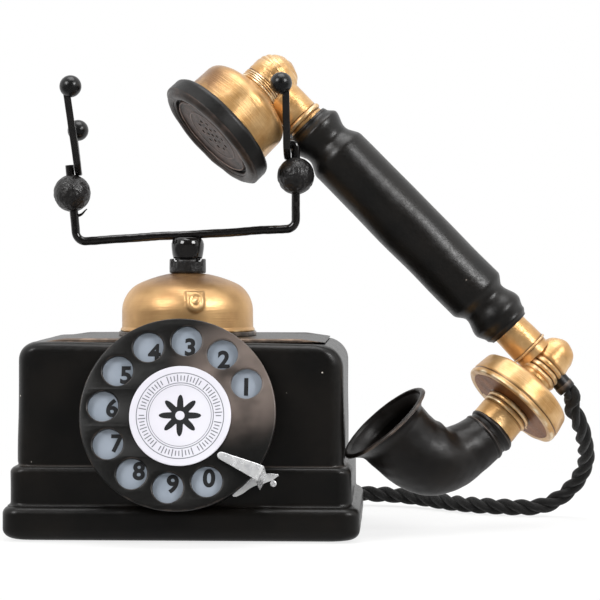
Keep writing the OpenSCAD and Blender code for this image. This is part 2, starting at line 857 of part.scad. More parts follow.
module guide_tube() {
    hub_z = gong_top - gong_hub_t;
    color(steel) on_bell() difference() {
        union() {
            rod(guide_r, guide_bottom, gong_top + nut_base_h);
            rod(guide_flange_r, hub_z - guide_flange_h, hub_z);
            rod(guide_flange_r, ceiling_z - guide_flange_h, ceiling_z);
        }
        rod(rod_r + fit, guide_bottom - 1, gong_top + nut_base_h + 1);
    }
}

// ---- Ringer and hook switch ----

module ringer_frame() {
    half = ringer_d / 2;
    color(steel) on_bell() translate([0, ringer_y, 0]) difference() {
        union() {
            translate([-ringer_half, -half, ceiling_z - 2]) cube([2 * ringer_half, ringer_d, 2]);
            translate([-ringer_half, -half, yoke_z]) cube([2 * ringer_half, ringer_d, 3]);
            for (s = [-1, 1]) translate([s * (ringer_half - 1) - 1, -half, yoke_z])
                cube([2, ringer_d, ceiling_z - yoke_z]);
            for (s = [-1, 1]) translate([-4, s * 5 - 0.8, pivot_z - 4])
                cube([8, 1.6, ceiling_z - pivot_z + 4]);
            translate([0, -5.8, pivot_z]) rotate([-90, 0, 0]) cylinder(r = 1.2, h = 11.6);
        }
        translate([slot_low, -slot_w / 2, ceiling_z - 3]) cube([slot_high - slot_low, slot_w, 4]);
    }
}

module ringer_coils() {
    base = yoke_z + 3;
    color("#7a4a22") on_bell() for (s = [-1, 1]) translate([s * coil_x, ringer_y, 0])
        turned([
            [0, base], [8, base], [8, base + 1.5], [7, base + 1.5], [7, base + 21],
            [8, base + 21], [8, base + 22.5], [3.2, base + 22.5], [3.2, base + 25], [0, base + 25]
        ]);
}

module clapper() {
    reach = hammer_z - pivot_z;
    lean = atan(hammer_x / reach);
    color(steel) on_bell() translate([0, ringer_y, pivot_z]) {
        difference() {
            union() {
                translate([-20, -2.5, -1.2]) cube([40, 5, 2.4]);
                translate([0, -3.6, 0]) rotate([-90, 0, 0]) cylinder(r = 3, h = 7.2);
                rotate([0, lean, 0]) cylinder(r = 1, h = norm([hammer_x, reach]));
            }
            translate([0, -5, 0]) rotate([-90, 0, 0]) cylinder(r = 1.2 + fit, h = 10);
        }
        translate([hammer_x, 0, reach]) sphere(r = hammer_ball_r);
    }
}

module switch_bracket() {
    color(steel) on_bell() {
        difference() {
            translate([-14, -9, bracket_z]) cube([28, 18, bracket_t]);
            rod(rod_r + fit, bracket_z - 1, bracket_z + bracket_t + 1);
        }
        for (s = [-1, 1]) {
            translate([s * 13 - 1, -9, floor_z]) cube([2, 18, bracket_z - floor_z]);
            translate([s * 17 - 5, -9, floor_z]) cube([10, 18, 1.6]);
        }
    }
}

module hook_spring() {
    low = spring_low + spring_wire_r + 0.1;
    high = collar_top - collar_h - spring_wire_r - 0.1;
    n = 12 * spring_turns;
    path = [for (i = [0:n]) let (a = 30 * i)
        [5.2 * cos(a), 5.2 * sin(a), low + (high - low) * i / n]];
    color(steel) on_bell() tube(path, spring_wire_r, 6);
}

module switch_block() {
    color(bakelite) on_bell() translate([-9, -7, floor_z]) cube([18, 14, 15.4]);
}

module switch_leaves() {
    color("#c8a24e") on_bell() for (y = [-4, 0, 4]) translate([0, y, floor_z + 15.4]) {
        translate([-3, -0.3, 0]) cube([6, 0.6, 16]);
        translate([0, 0, 13]) rotate([-90, 0, 0]) cylinder(r = 1.4, h = 1.2);
    }
}

module terminal_block() {
    color(bakelite) translate([terminal_at[0], terminal_at[1], floor_z]) cube(terminal_size);
}

module terminal_screws() {
    color("#c8a24e") for (k = [0:4])
        translate([terminal_at[0] + terminal_pitch * (k + 0.5), terminal_at[1] + terminal_size[1] / 2,
                   floor_z + terminal_size[2]]) cylinder(r = terminal_screw_r, h = 2);
}

module induction_coil() {
    color("#7a4a22") translate([coil_at[0], coil_at[1], floor_z + coil_cheek / 2]) {
        rotate([-90, 0, 0]) cylinder(r = coil_cheek / 2 - 2, h = coil_l);
        for (y = [0, coil_l - coil_flange])
            translate([-coil_cheek / 2, y, -coil_cheek / 2]) cube([coil_cheek, coil_flange, coil_cheek]);
    }
}

module capacitor() {
    color("#8d9093") translate([capacitor_at[0], capacitor_at[1], floor_z]) cube(capacitor_size);
}

// ---- Cradle ----

module plunger() {
    color(steel) on_bell() rod(rod_r, rod_low, knob_z + 6.5);
}

module plunger_collar() {
    color(steel) on_bell() tube_ring(collar_r, rod_r + fit, collar_top - collar_h, collar_top);
}

module plunger_knob() {
    belly = knob_z + knob_belly;
    top = knob_z + knob_h;
    color(black) difference() {
        on_bell() difference() {
            turned(concat(
                [[0, knob_z]],
                arc([knob_r - knob_arc, belly], knob_arc, -asin(knob_belly / knob_arc), 4, 8),
                arc([knob_r - 3, top - 2.8], 2.8, 0, 90, 5),
                [[0, top]]
            ));
            rod(rod_r + fit, knob_z - 1, knob_z + 6.5 + fit);
        }
        on_cradle() rotate([0, 90 - wire_slope, 0]) rod(wire_r + fit, -20, 20);
    }
}

// The wire's middle line: a stub, a corner, the cross wire, a corner and the hooked end
function corner_points(c, a0, a1, r, side) = [
    for (i = [0:5]) let (a = a0 + (a1 - a0) * i / 5) [c[0] + r * cos(a), 0, c[1] + side + r * sin(a)]
];

module cradle_wire() {
    left_turn = 90 + left_lean - wire_slope;
    left_cut = wire_bend * tan((180 - 90 - left_lean + wire_slope) / 2 );
    right_cut = wire_bend * tan((90 - wire_slope) / 2);
    slope_dir = [cos(wire_slope), sin(wire_slope)];
    left_in = left_corner + left_cut * left_dir;
    left_centre = left_in + wire_bend * [cos(left_lean), sin(left_lean)];
    right_out = right_corner + right_cut * right_dir;
    right_centre = right_out - [wire_bend, 0];
    hook_base = right_bead + [0, hook_rise];
    end = hook_base - [2 * hook_r, 0];
    flat = concat(
        [left_bead + left_stub * left_dir],
        arc(left_centre, wire_bend, 180 + left_lean, 270 + wire_slope, 6),
        arc(right_centre, wire_bend, 270 + wire_slope, 360, 6),
        arc(hook_base - [hook_r, 0], hook_r, 0, 180, 8),
        [[end[0], hook_end]]
    );
    color(black) on_cradle() tube([for (p = flat) [p[0], 0, p[1]]], wire_r, 12, [0, 1, 0]);
}

module bead(centre, lean) {
    color(black) on_cradle() translate([centre[0], 0, centre[1]]) rotate([0, -lean, 0]) difference() {
        sphere(r = bead_r);
        rod(wire_r + fit, -bead_r - 1, bead_r + 1);
    }
}

// Outline of a fork: a bar bent round its vertex with two straight arms
function fork_line(off, arm) =
    let (r = fork_bend + off, a = 90 - fork_half, d = [sin(fork_half), cos(fork_half)])
    concat(
        [[r * sin(a), fork_bend - r * cos(a)] + arm * d],
        arc([0, fork_bend], r, a - 90, -a - 90, 12),
        [[-r * sin(a), fork_bend - r * cos(a)] + arm * [-d[0], d[1]]]
    );

module fork(vertex, lean, pitch, arm, yaw = 0) {
    outer = fork_line(fork_t / 2, arm);
    inner = fork_line(-fork_t / 2, arm);
    inward = [for (i = [len(inner) - 1:-1:0]) inner[i]];
    color(black) at_fork(vertex, lean, pitch, yaw)
        rotate([90, 0, 90]) linear_extrude(fork_t, center = true) polygon(concat(outer, inward));
}

module at_fork(vertex, lean, pitch, yaw) {
    on_cradle() translate([vertex[0], 0, vertex[1]])
        rotate([0, -lean, yaw]) rotate([-pitch, 0, 0]) children();
}

// Balls on the ends of a fork's arms, set in from its middle; the arm's end is let in
module tips(vertex, lean, pitch, arm, side, yaw = 0) {
    out = fork_bend * cos(fork_half) + (arm + tip_r * 0.6) * sin(fork_half);
    up = fork_bend * (1 - sin(fork_half)) + (arm + tip_r * 0.6) * cos(fork_half);
    color(black) difference() {
        at_fork(vertex, lean, pitch, yaw) for (s = [-1, 1])
            translate([side * tip_inset, s * out, up]) sphere(r = tip_r);
        fork(vertex, lean, pitch, arm, yaw);
    }
}

// ---- Handset ----

module grip() {
    l0 = grip_start;
    l1 = grip_end;
    color(black) along_handset() difference() {
        turned(on_axis(waves([
            [l0, grip_r - 4.3], [l0 + 1.2, grip_r - 3.8], [l0 + 5.7, grip_r - 0.9],
            [l0 + 13.8, grip_r - 3.1], [l0 + 22, grip_r], [l1 - 23.2, grip_r - 0.1],
            [l1 - 17, grip_r - 3.3], [l1 - 8.5, grip_r - 1.1], [l1 - 2.7, grip_r - 3.1],
            [l1, grip_r - 4.6]
        ])));
        rod(tie_rod_r + fit, l0 - 1, l1 + 1);
    }
}

module tie_rod() {
    color(steel) along_handset() rod(tie_rod_r, tie_rod_inset, mouth_axis - tie_rod_inset);
}

// A gilt neck from z0 to z1 with a ring at ring_z
module neck(r, z0, z1, ring_z) {
    difference() {
        union() {
            rod(r, z0, z1);
            translate([0, 0, ring_z])
                turned(concat([[0, -1.4]], arc([r - 0.4, 0], 1.4, -90, 90), [[0, 1.4]]));
        }
        rod(tie_rod_r + fit, z0 - 1, z1 + 1);
    }
}

module ear_neck() {
    color(gilt) difference() {
        along_handset() neck(neck_r, neck_inset, grip_start, grip_start - 3);
        on_ear() translate([0, 0, -fit]) turned(concat(can_outline(), [[0, can_depth]]));
    }
}

module mouth_neck() {
    color(gilt) along_handset()
        neck(neck_r - 0.2, grip_end, mouth_axis - neck_inset, grip_end + 12.5);
}

// A socket for a neck, and for the tie rod past it, that comes from the side sign
module neck_socket(centre, sign, r) {
    along_handset() {
        rod(r + fit, centre + (sign > 0 ? neck_inset - 0.5 : -40),
            centre + (sign > 0 ? 40 : 0.5 - neck_inset));
        rod(tie_rod_r + fit, centre + (sign > 0 ? tie_rod_inset - 13.5 : -40),
            centre + (sign > 0 ? 40 : 13.5 - tie_rod_inset));
    }
}

module ear_knob() {
    bead = 0.56;
    rings = [for (k = [0:3]) each arc([ear_knob_r - bead, 3.15 + 1.13 * k], bead, -70, 70, 3)];
    color(gilt) difference() {
        on_ear() turned(concat(
            [[0, -knob_lift - ear_knob_r]],
            arc([0, -knob_lift], ear_knob_r, -89, 0, 10),
            rings, [[ear_knob_r - bead, ear_seat], [0, ear_seat]]
        ));
        neck_socket(0.5, 1, neck_r);
    }
}

// Outside of the receiver can, from the knob down to its edge
function can_outline() = concat(
    [[0, ear_seat], [ear_knob_r - 0.7, ear_seat]],
    arc([can_r - 5.2, ear_seat + 8.9], 5.2, -65, 0, 6),
    [[can_r, can_depth]]
);

module receiver_can() {
    inner = [
        [can_r - can_wall, can_depth], [can_r - can_wall, ear_seat + 9.5],
        [can_r - 6, ear_seat + 6.2], [0, ear_seat + 3]
    ];
    color(gilt) on_ear() turned(concat(can_outline(), inner));
}

module ear_cap() {
    r = ear_cap_r;
    inside = ear_plate_r + 0.2;
    color(black) on_ear() turned(concat(
        [[can_r + fit, cap_depth], [can_r + 0.8, cap_depth]],
        waves2([can_r + 0.8, cap_depth], [r, cap_depth + 6.5]),
        [[r, cap_face - 3.1], [inside + 2, cap_face], [inside, cap_face]],
        [[inside, cap_face - 2], [inside - 2.4, cap_face - 2], [inside - 2.4, can_depth + 2]],
        [[can_r + fit, can_depth + 2]]
    ));
}

// A curve from a to b that leaves a level and reaches b upright
function waves2(a, b) = [
    for (i = [1:6]) let (t = 15 * i) [a[0] + (b[0] - a[0]) * sin(t), a[1] + (b[1] - a[1]) * (1 - cos(t))]
];

module ear_plate() {
    color("#3b2a22") on_ear() difference() {
        rod(ear_plate_r, cap_face - 2, cap_face - 1);
        rod(1.1, cap_face - 3, cap_face);
        for (k = [0:5]) rotate(60 * k) translate([4.6, 0, cap_face - 3]) cylinder(r = 1, h = 3);
        for (k = [0:11]) rotate(30 * k) translate([9.2, 0, cap_face - 3]) cylinder(r = 1, h = 3);
    }
}

module receiver_capsule() {
    seat = cap_face - 2.3;
    color("#8d9093") on_ear() turned([
        [0, seat - 14], [15, seat - 14], [15, seat - 8], [ear_plate_r - 3, seat - 8],
        [ear_plate_r - 3, seat], [0, seat]
    ]);
}

module mouth_knob() {
    r = mouth_knob_r;
    color(gilt) difference() {
        on_mouth() turned(concat(
            [[0, -14.9]],
            arc([0, -6], r - 0.9, -89, 0, 8),
            [[r, -1.6]],
            [for (k = [0:2]) each arc([r - 0.8, 0.6 + 3 * k], 0.8, -75, 75, 3)],
            [[r - 0.8, 9.6], [0, 9.6]]
        ));
        neck_socket(mouth_axis, -1, neck_r - 0.2);
        along_bush() rod(bush_r - 1 + fit, bush_seat, bush_seat + 30);
    }
}

module transmitter_disc() {
    color(gilt) on_mouth() turned(concat(
        [[0, 9.6], [mouth_knob_r - 0.8, 9.6]],
        arc([mouth_knob_r + 1.6, 11.2], 1.4, 200, 90, 4),
        arc([disc_r - 5.4, 19], 5.4, -70, 0, 6),
        [[disc_r, 23.3], [disc_r - 0.7, 24], [disc_r, 24.7], [disc_r, 25.8], [disc_r - 1, 26.8]],
        [[disc_r - 3, 26.8], [disc_r - 3, 16], [0, 16]]
    ));
}

module transmitter_capsule() {
    color("#8d9093") on_mouth() turned([
        [0, 16.2], [disc_r - 3.6, 16.2], [disc_r - 3.6, 22.4], [0, 22.4]
    ]);
}

// The gilt neck of the horn, with the back plate of the disc and three thread rings
module horn_neck() {
    r = horn_neck_r;
    color(gilt) on_mouth() turned(concat(
        [[5, 22.6], [disc_r - 3.1, 22.6], [disc_r - 3.1, 26.6], [r + 1, 26.8]],
        [for (k = [0:2]) each arc([r - 0.6, 28 + 2.1 * k], 0.9, -80, 80, 4)],
        [[r, 33.4], [r, horn_start], [5, horn_start]]
    ));
}

// Horn: the middle line runs straight, bends and straightens; r is the outer radius
horn_stations = concat(
    [[0, 11.4], [0.8, 12.1], [1.7, 12.4], [2.6, 12.1], [3.4, 11.3], [5, 11.2], [5.8, 12.2],
     [6.7, 12.5], [7.6, 12.1], [horn_collar, 12], [horn_straight, horn_throat_r]],
    [for (k = [1:8]) let (f = k / 8)
        [horn_straight + horn_bend_r * horn_bend * PI / 180 * f,
         horn_throat_r + (horn_bell_r - horn_throat_r) * sin(90 * f)]],
    [for (k = [1:7]) let (f = k / 7) [
        horn_straight + horn_bend_r * horn_bend * PI / 180 + horn_flare * f,
        horn_bell_r + (horn_rim_r - horn_bell_r) * pow(f, 2.6)
    ]]
);

function horn_place(s) =
    let (a = min(max((s - horn_straight) / horn_bend_r * 180 / PI, 0), horn_bend),
         past = max(s - horn_straight - horn_bend_r * horn_bend * PI / 180, 0),
         x = -horn_bend_r * (1 - cos(a)) - past * sin(a),
         d = min(s, horn_straight) + horn_bend_r * sin(a) + past * cos(a))
    [[x, 0, -horn_start - d], [-sin(a), 0, -cos(a)]];

module mouth_horn() {
    n = horn_sides;
    last = len(horn_stations) - 1;
    outside = [for (i = [0:last]) [horn_stations[i][0], horn_stations[i][1]]];
    bore = [for (i = [last:-1:0])
        [horn_stations[i][0], i < 10 ? horn_bore_r : horn_stations[i][1] - horn_wall]];
    loop = concat(outside, bore);
    count = len(loop);
    points = [for (s = loop) let (p = horn_place(s[0])) each ring(p[0], p[1], s[1], n, [0, 1, 0])];
    faces = [for (k = [0:count - 1]) each skin(k, (k + 1) % count, n)];
    color(black) on_mouth() rotate([180, 0, 0]) rotate(horn_turn) polyhedron(points, faces);
}

// ---- Cord ----

module cord_bush() {
    shoulder = bush_seat + bush_depth + 1.5;
    color(black) along_bush() turned([
        [0, bush_seat], [bush_r - 1, bush_seat], [bush_r - 1, shoulder], [bush_r, shoulder],
        [cord_r + 0.6, bush_seat + bush_l], [0, bush_seat + bush_l]
    ]);
}

module cord_gland() {
    back = foot_d / 2;
    nose = back + gland_nose;
    color(black) gland_place() turned([
        [0, inner_d / 2 - 2], [gland_body_r, inner_d / 2 - 2], [gland_body_r, back + fit],
        [gland_body_r + 1.6, back + fit], [gland_body_r + 1.6, back + 2.4],
        [gland_body_r, back + 2.4], [cord_r + 0.8, nose], [0, nose]
    ]);
}

module cord() {
    tip = bush_seat + bush_l;
    nose = foot_d / 2 + gland_nose;
    out = [for (l = [tip + fit, tip + 4]) on_bush(l)];
    in = [for (y = [nose + 4, nose]) [gland_x, y, gland_z]];
    color("#141312") tube(concat(out, cord_route, in), cord_r, cord_sides);
}

module bead_left() { bead(left_bead, left_lean); }
module bead_right() { bead(right_bead, 0); }
module fork_left() { fork(left_vertex, left_lean, fork_pitch_left, fork_arm_left, fork_turn_left); }
module fork_right() { fork(right_vertex, 0, fork_pitch_right, fork_arm_right); }
module tips_left() { tips(left_vertex, left_lean, fork_pitch_left, fork_arm_left, 1, fork_turn_left); }
module tips_right() { tips(right_vertex, 0, fork_pitch_right, fork_arm_right, -1); }

felt_pad();
foot_base();
housing();
top_plate();
case_screws();
dial_case();
number_plate();
dial_frame();
finger_stop();
stop_screw();
bell_seat();
gong();
crown_nut();
guide_tube();
cord_gland();
cord();
ringer_frame();
ringer_coils();
switch_bracket();
hook_spring();
switch_block();
switch_leaves();
terminal_block();
terminal_screws();
induction_coil();
capacitor();
pulse_contacts();
finger_wheel();
dial_card();
dial_shaft();
main_gear();
spring_drum();
pulse_cam();
governor();
clapper();
plunger();
plunger_knob();
plunger_collar();
cradle_wire();
bead_left();
bead_right();
fork_left();
fork_right();
tips_left();
tips_right();
grip();
tie_rod();
ear_neck();
ear_knob();
receiver_can();
ear_cap();
ear_plate();
receiver_capsule();
mouth_neck();
mouth_knob();
transmitter_disc();
transmitter_capsule();
horn_neck();
mouth_horn();
cord_bush();
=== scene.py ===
"""An antique table telephone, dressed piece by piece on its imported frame.

Run as a script in Blender 4.5. Lengths in the shape functions are millimetres and
become metres when a mesh is made; the property groups hold metres, as Blender does.
"""

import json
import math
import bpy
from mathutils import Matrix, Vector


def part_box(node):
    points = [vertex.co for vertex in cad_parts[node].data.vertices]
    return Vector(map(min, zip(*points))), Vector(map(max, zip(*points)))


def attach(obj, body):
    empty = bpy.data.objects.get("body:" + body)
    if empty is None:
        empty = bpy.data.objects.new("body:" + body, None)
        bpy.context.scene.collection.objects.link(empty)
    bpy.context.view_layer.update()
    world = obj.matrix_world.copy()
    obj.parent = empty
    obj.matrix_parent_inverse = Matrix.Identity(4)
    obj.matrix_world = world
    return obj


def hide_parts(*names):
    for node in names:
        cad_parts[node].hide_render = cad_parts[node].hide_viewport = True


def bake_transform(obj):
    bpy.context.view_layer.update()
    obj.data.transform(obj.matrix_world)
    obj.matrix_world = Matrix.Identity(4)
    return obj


bl_info = {
    "name": "Antique Table Telephone",
    "version": (1, 0, 0),
    "blender": (4, 5, 0),
    "location": "View3D > Sidebar > Telephone",
    "description": "Makes the case, dial, bell, cradle, handset and cord of a table telephone",
    "category": "Add Mesh",
}

from functools import partial

import bpy
import numpy as np
from bpy.props import FloatProperty, FloatVectorProperty, PointerProperty
from mathutils import Matrix, Vector

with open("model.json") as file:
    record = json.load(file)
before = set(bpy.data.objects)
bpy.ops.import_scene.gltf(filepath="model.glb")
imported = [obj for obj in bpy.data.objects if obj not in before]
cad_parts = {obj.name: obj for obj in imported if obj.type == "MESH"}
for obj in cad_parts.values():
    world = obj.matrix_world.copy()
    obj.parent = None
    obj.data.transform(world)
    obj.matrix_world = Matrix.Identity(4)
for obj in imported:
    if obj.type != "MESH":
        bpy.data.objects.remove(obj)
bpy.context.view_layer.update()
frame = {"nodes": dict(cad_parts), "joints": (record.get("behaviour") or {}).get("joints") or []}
JOINTS = {joint["name"]: joint for joint in frame["joints"]}
MM = 1000  # millimetres in a metre


def node_box(name):
    """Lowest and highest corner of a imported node, in millimetres."""
    return [np.array(corner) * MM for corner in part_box(name)]


def turn(axis, degrees):
    """A 4 by 4 turn about X, Y or Z."""
    return np.array(Matrix.Rotation(math.radians(degrees), 4, axis))


def shift(x, y, z):
    """A 4 by 4 move."""
    move = np.eye(4)
    move[:3, 3] = x, y, z
    return move


# ---- Measures and places that the shapes share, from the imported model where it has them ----

FOOT_LOW, FOOT_HIGH = node_box("foot_base")
CASE_LOW, CASE_HIGH = node_box("housing")
KNOB_LOW, KNOB_HIGH = node_box("plunger_knob")
BELL_X = JOINTS["hammer_swing"]["pos_m"][0] * MM
DIAL_TILT = math.degrees(math.asin(-JOINTS["dial_turn"]["axis"][2]))
GONG_TOP = node_box("crown_nut")[0][2]
MOUTH_AXIS = 192.1  # how far along the handset the mouthpiece stands
GRIP_END = 166.0  # how far along the handset the grip ends
HORN_START = 40.2  # how far from the handset's axis the horn starts
GLAND = (44, 69.5, 8.8)  # where the cord leaves the case
HOLE = 5.05  # radius of the plunger's way through case, gong and nut
AXIS = 0.02  # radius where a profile stops short of its axis

AT_BELL = shift(BELL_X, 0, 0)
AT_DIAL = shift(*np.array(JOINTS["dial_turn"]["pos_m"]) * MM) @ turn("X", 90 - DIAL_TILT)
AT_CRADLE = shift(BELL_X, 0, KNOB_HIGH[2] + 1.1)
AT_HANDSET = shift(36.3, 11, 214) @ turn("Y", 45.43) @ turn("X", -16)
ALONG_HANDSET = AT_HANDSET @ turn("Y", 90)
AT_EAR = AT_HANDSET @ shift(0.5, 0, 0) @ turn("X", 180)
AT_MOUTH = AT_HANDSET @ shift(MOUTH_AXIS, 0, 0) @ turn("Y", -3) @ turn("X", 180)
ALONG_BUSH = AT_HANDSET @ shift(MOUTH_AXIS, 0, 0) @ turn("Y", 93)


# ---- Colours and materials ----


def linear(colour):
    """An sRGB hex colour, such as #c9974a, as linear light with full alpha."""
    parts = np.array([int(colour[i : i + 2], 16) for i in (1, 3, 5)]) / 255
    light = np.where(parts <= 0.04045, parts / 12.92, ((parts + 0.055) / 1.055) ** 2.4)
    return (*light.tolist(), 1.0)


def emptied(owner):
    """The node tree of a material or world, with no nodes left in it."""
    owner.use_nodes = True
    owner.node_tree.nodes.clear()
    return owner.node_tree


def add_node(tree, kind, sockets=(), out=0, **settings):
    """Adds a node, sets it, fills its sockets with values or with other nodes' outputs,
    and gives the output that is asked for, or all of them by name if out is None."""
    made = tree.nodes.new("ShaderNode" + kind)
    for name, value in settings.items():
        setattr(made, name, value)
    for name, value in dict(sockets).items():
        if isinstance(value, bpy.types.NodeSocket):
            tree.links.new(value, made.inputs[name])
        else:
            made.inputs[name].default_value = value
    return made.outputs if out is None or not made.outputs else made.outputs[out]


PATCH, DOTS = 6, 9  # size of rubbed patches and distance between specks, in millimetres


def finish(name, base, second, rub_and_glint=None, rub_and_glint_span=(0.2, 0.7), even=0.0, rough=(0.35, 0.5),
           cloud=14.0, grain=0.9, relief=(0.10, 0.02), stretch=(1, 1, 1), hollow=None,
           hollow_span=(0.1, 0.45), brush=0.0, painted_light_patch=None, specks=None, **shader):
    """A painted, gilt, turned or moulded surface.

    Two colours drift into each other in clouds of a real size in millimetres; roughness
    follows a finer grain; relief is how high clouds and grain stand, in millimetres; and
    rub is the colour that shows where the piece's edge attribute, its curvature in 1/mm,
    passes rub_and_glint_span and a patchy noise, of which even is the least, lets it: rubbed wear
    on the dark finishes, and a painted highlight on the gilt, the gong and the nickel. hollow
    is the colour laid where the curvature is as far below zero: painted shade on the gilt,
    the gong and the ear pieces, and a paler tone on the case. brush is how high the brush's
    streaks stand, in millimetres, round a turned piece. worn is a place in millimetres, a
    radius and the colour of a patch of light or shade painted there, such as the wheel's
    sheen, the can's shaded side and the gong's dark reflection. specks is the colour of rare
    dots. Grit, fibres and scratches that are too fine to show are drawn as coarse as grain.
    """
    made = bpy.data.materials.new(name)
    add = partial(add_node, emptied(made))
    place = add("TexCoord", out="Object")
    drawn = add("Mapping", {"Vector": place, "Scale": stretch})
    clouds, grains, patch = (
        add("TexNoise", {"Vector": at, "Scale": MM / size, "Detail": detail}, "Fac")
        for at, size, detail in ((drawn, cloud, 3.0), (drawn, grain, 2.0), (place, PATCH, 5.0)))
    curve = add("Attribute", out="Fac", attribute_name="edge")
    # The colours that lie over the first. Each one's share is the product of one or two
    # ramps: a value, where it starts and ends, the least share and the ramp's form
    layers = [(second, (clouds, 0.35, 0.65, 0, "LINEAR"))]
    # A patch of painted light or shade round a place, such as a sheen, a shaded side and a dark
    # reflection
    if painted_light_patch:
        centre, reach, tone = painted_light_patch
        far = add("VectorMath", {0: place, 1: [c / MM for c in centre]}, "Value",
                  operation="DISTANCE")
        layers.append((tone, (far, reach / MM, reach / (3 * MM), 0, "SMOOTHSTEP"),
                       (clouds, 0.2, 0.6, 0, "SMOOTHSTEP")))
    # Painted shade in the hollows; on the case this colour is paler
    if hollow:
        layers.append((hollow, (curve, -hollow_span[0], -hollow_span[1], 0, "SMOOTHSTEP")))
    # Edges: rubbed wear on the dark finishes, a painted highlight on gilt, gong and nickel
    if rub_and_glint:
        layers.append((rub_and_glint, (curve, *rub_and_glint_span, 0, "SMOOTHSTEP"),
                       (patch, 0.44, 0.62, even, "LINEAR")))
    if specks:
        dots = add("TexVoronoi", {"Vector": place, "Scale": MM / DOTS}, "Distance")
        layers.append((specks, (dots, 0.05, 0.035, 0, "SMOOTHSTEP"),
                       (patch, 0.5, 0.56, 0, "SMOOTHSTEP")))
    colour = linear(base)
    for tone, *ramps in layers:
        share, *rest = [
            add("MapRange", {"Value": value, "From Min": start, "From Max": end,
                             "To Min": least}, interpolation_type=form)
            for value, start, end, least, form in ramps]
        for other in rest:
            share = add("Math", {0: share, 1: other}, operation="MULTIPLY")
        colour = add("Mix", {0: share, 6: colour, 7: linear(tone)}, 2, data_type="RGBA")
    lumps = add("Math", {0: clouds, 1: relief[0]}, operation="MULTIPLY")
    if brush:
        laid = add("UVMap", uv_map="lay")
        long = add("Mapping", {"Vector": laid, "Scale": (0.07, 1.5, 1)})
        streaks = add("TexNoise", {"Vector": long, "Scale": 1.0, "Detail": 3.0}, "Fac")
        lumps = add("Math", {0: streaks, 1: brush, 2: lumps}, operation="MULTIPLY_ADD")
    height = add("Math", {0: grains, 1: relief[1], 2: lumps}, operation="MULTIPLY_ADD")
    bump = add("Bump", {"Height": height, "Distance": 1 / MM})
    gloss = add("MapRange", {"Value": grains, "From Min": 0.3, "From Max": 0.7,
                             "To Min": rough[0], "To Max": rough[1]})
    surface = add("BsdfPrincipled", {
        "Base Color": colour, "Roughness": gloss, "Normal": bump,
        **{key.replace("_", " "): value for key, value in shader.items()}})
    add("OutputMaterial", {"Surface": surface})
    return made


def cord_finish(name, base, second):
    """Cotton rope: the piece's own UV map steps round and along the rope, and a diagonal
    wave over it draws slanting yarns about 0.5 mm wide. The cotton's fluff is drawn
    0.5 mm coarse, or it would be too fine to show."""
    made = bpy.data.materials.new(name)
    add = partial(add_node, emptied(made))
    laid, place = add("UVMap", uv_map="lay"), add("TexCoord", out="Object")
    yarns = add(
        "TexWave",
        {"Vector": laid, "Scale": 1.0, "Distortion": 0.9, "Detail": 2.0, "Detail Scale": 1.5},
        "Fac", wave_type="BANDS", bands_direction="DIAGONAL")
    fluff = add("TexNoise", {"Vector": place, "Scale": MM / 0.5, "Detail": 3.0}, "Fac")
    colour = add("Mix", {0: yarns, 6: linear(base), 7: linear(second)}, 2, data_type="RGBA")
    height = add("Math", {0: yarns, 1: 0.16, 2: fluff}, operation="MULTIPLY_ADD")
    bump = add("Bump", {"Height": height, "Distance": 0.7 / MM, "Strength": 0.8})
    surface = add("BsdfPrincipled", {
        "Base Color": colour, "Roughness": 0.78, "Normal": bump, "Sheen Weight": 0.12,
        "Sheen Roughness": 0.5, "IOR": 1.4})
    add("OutputMaterial", {"Surface": surface})
    return made


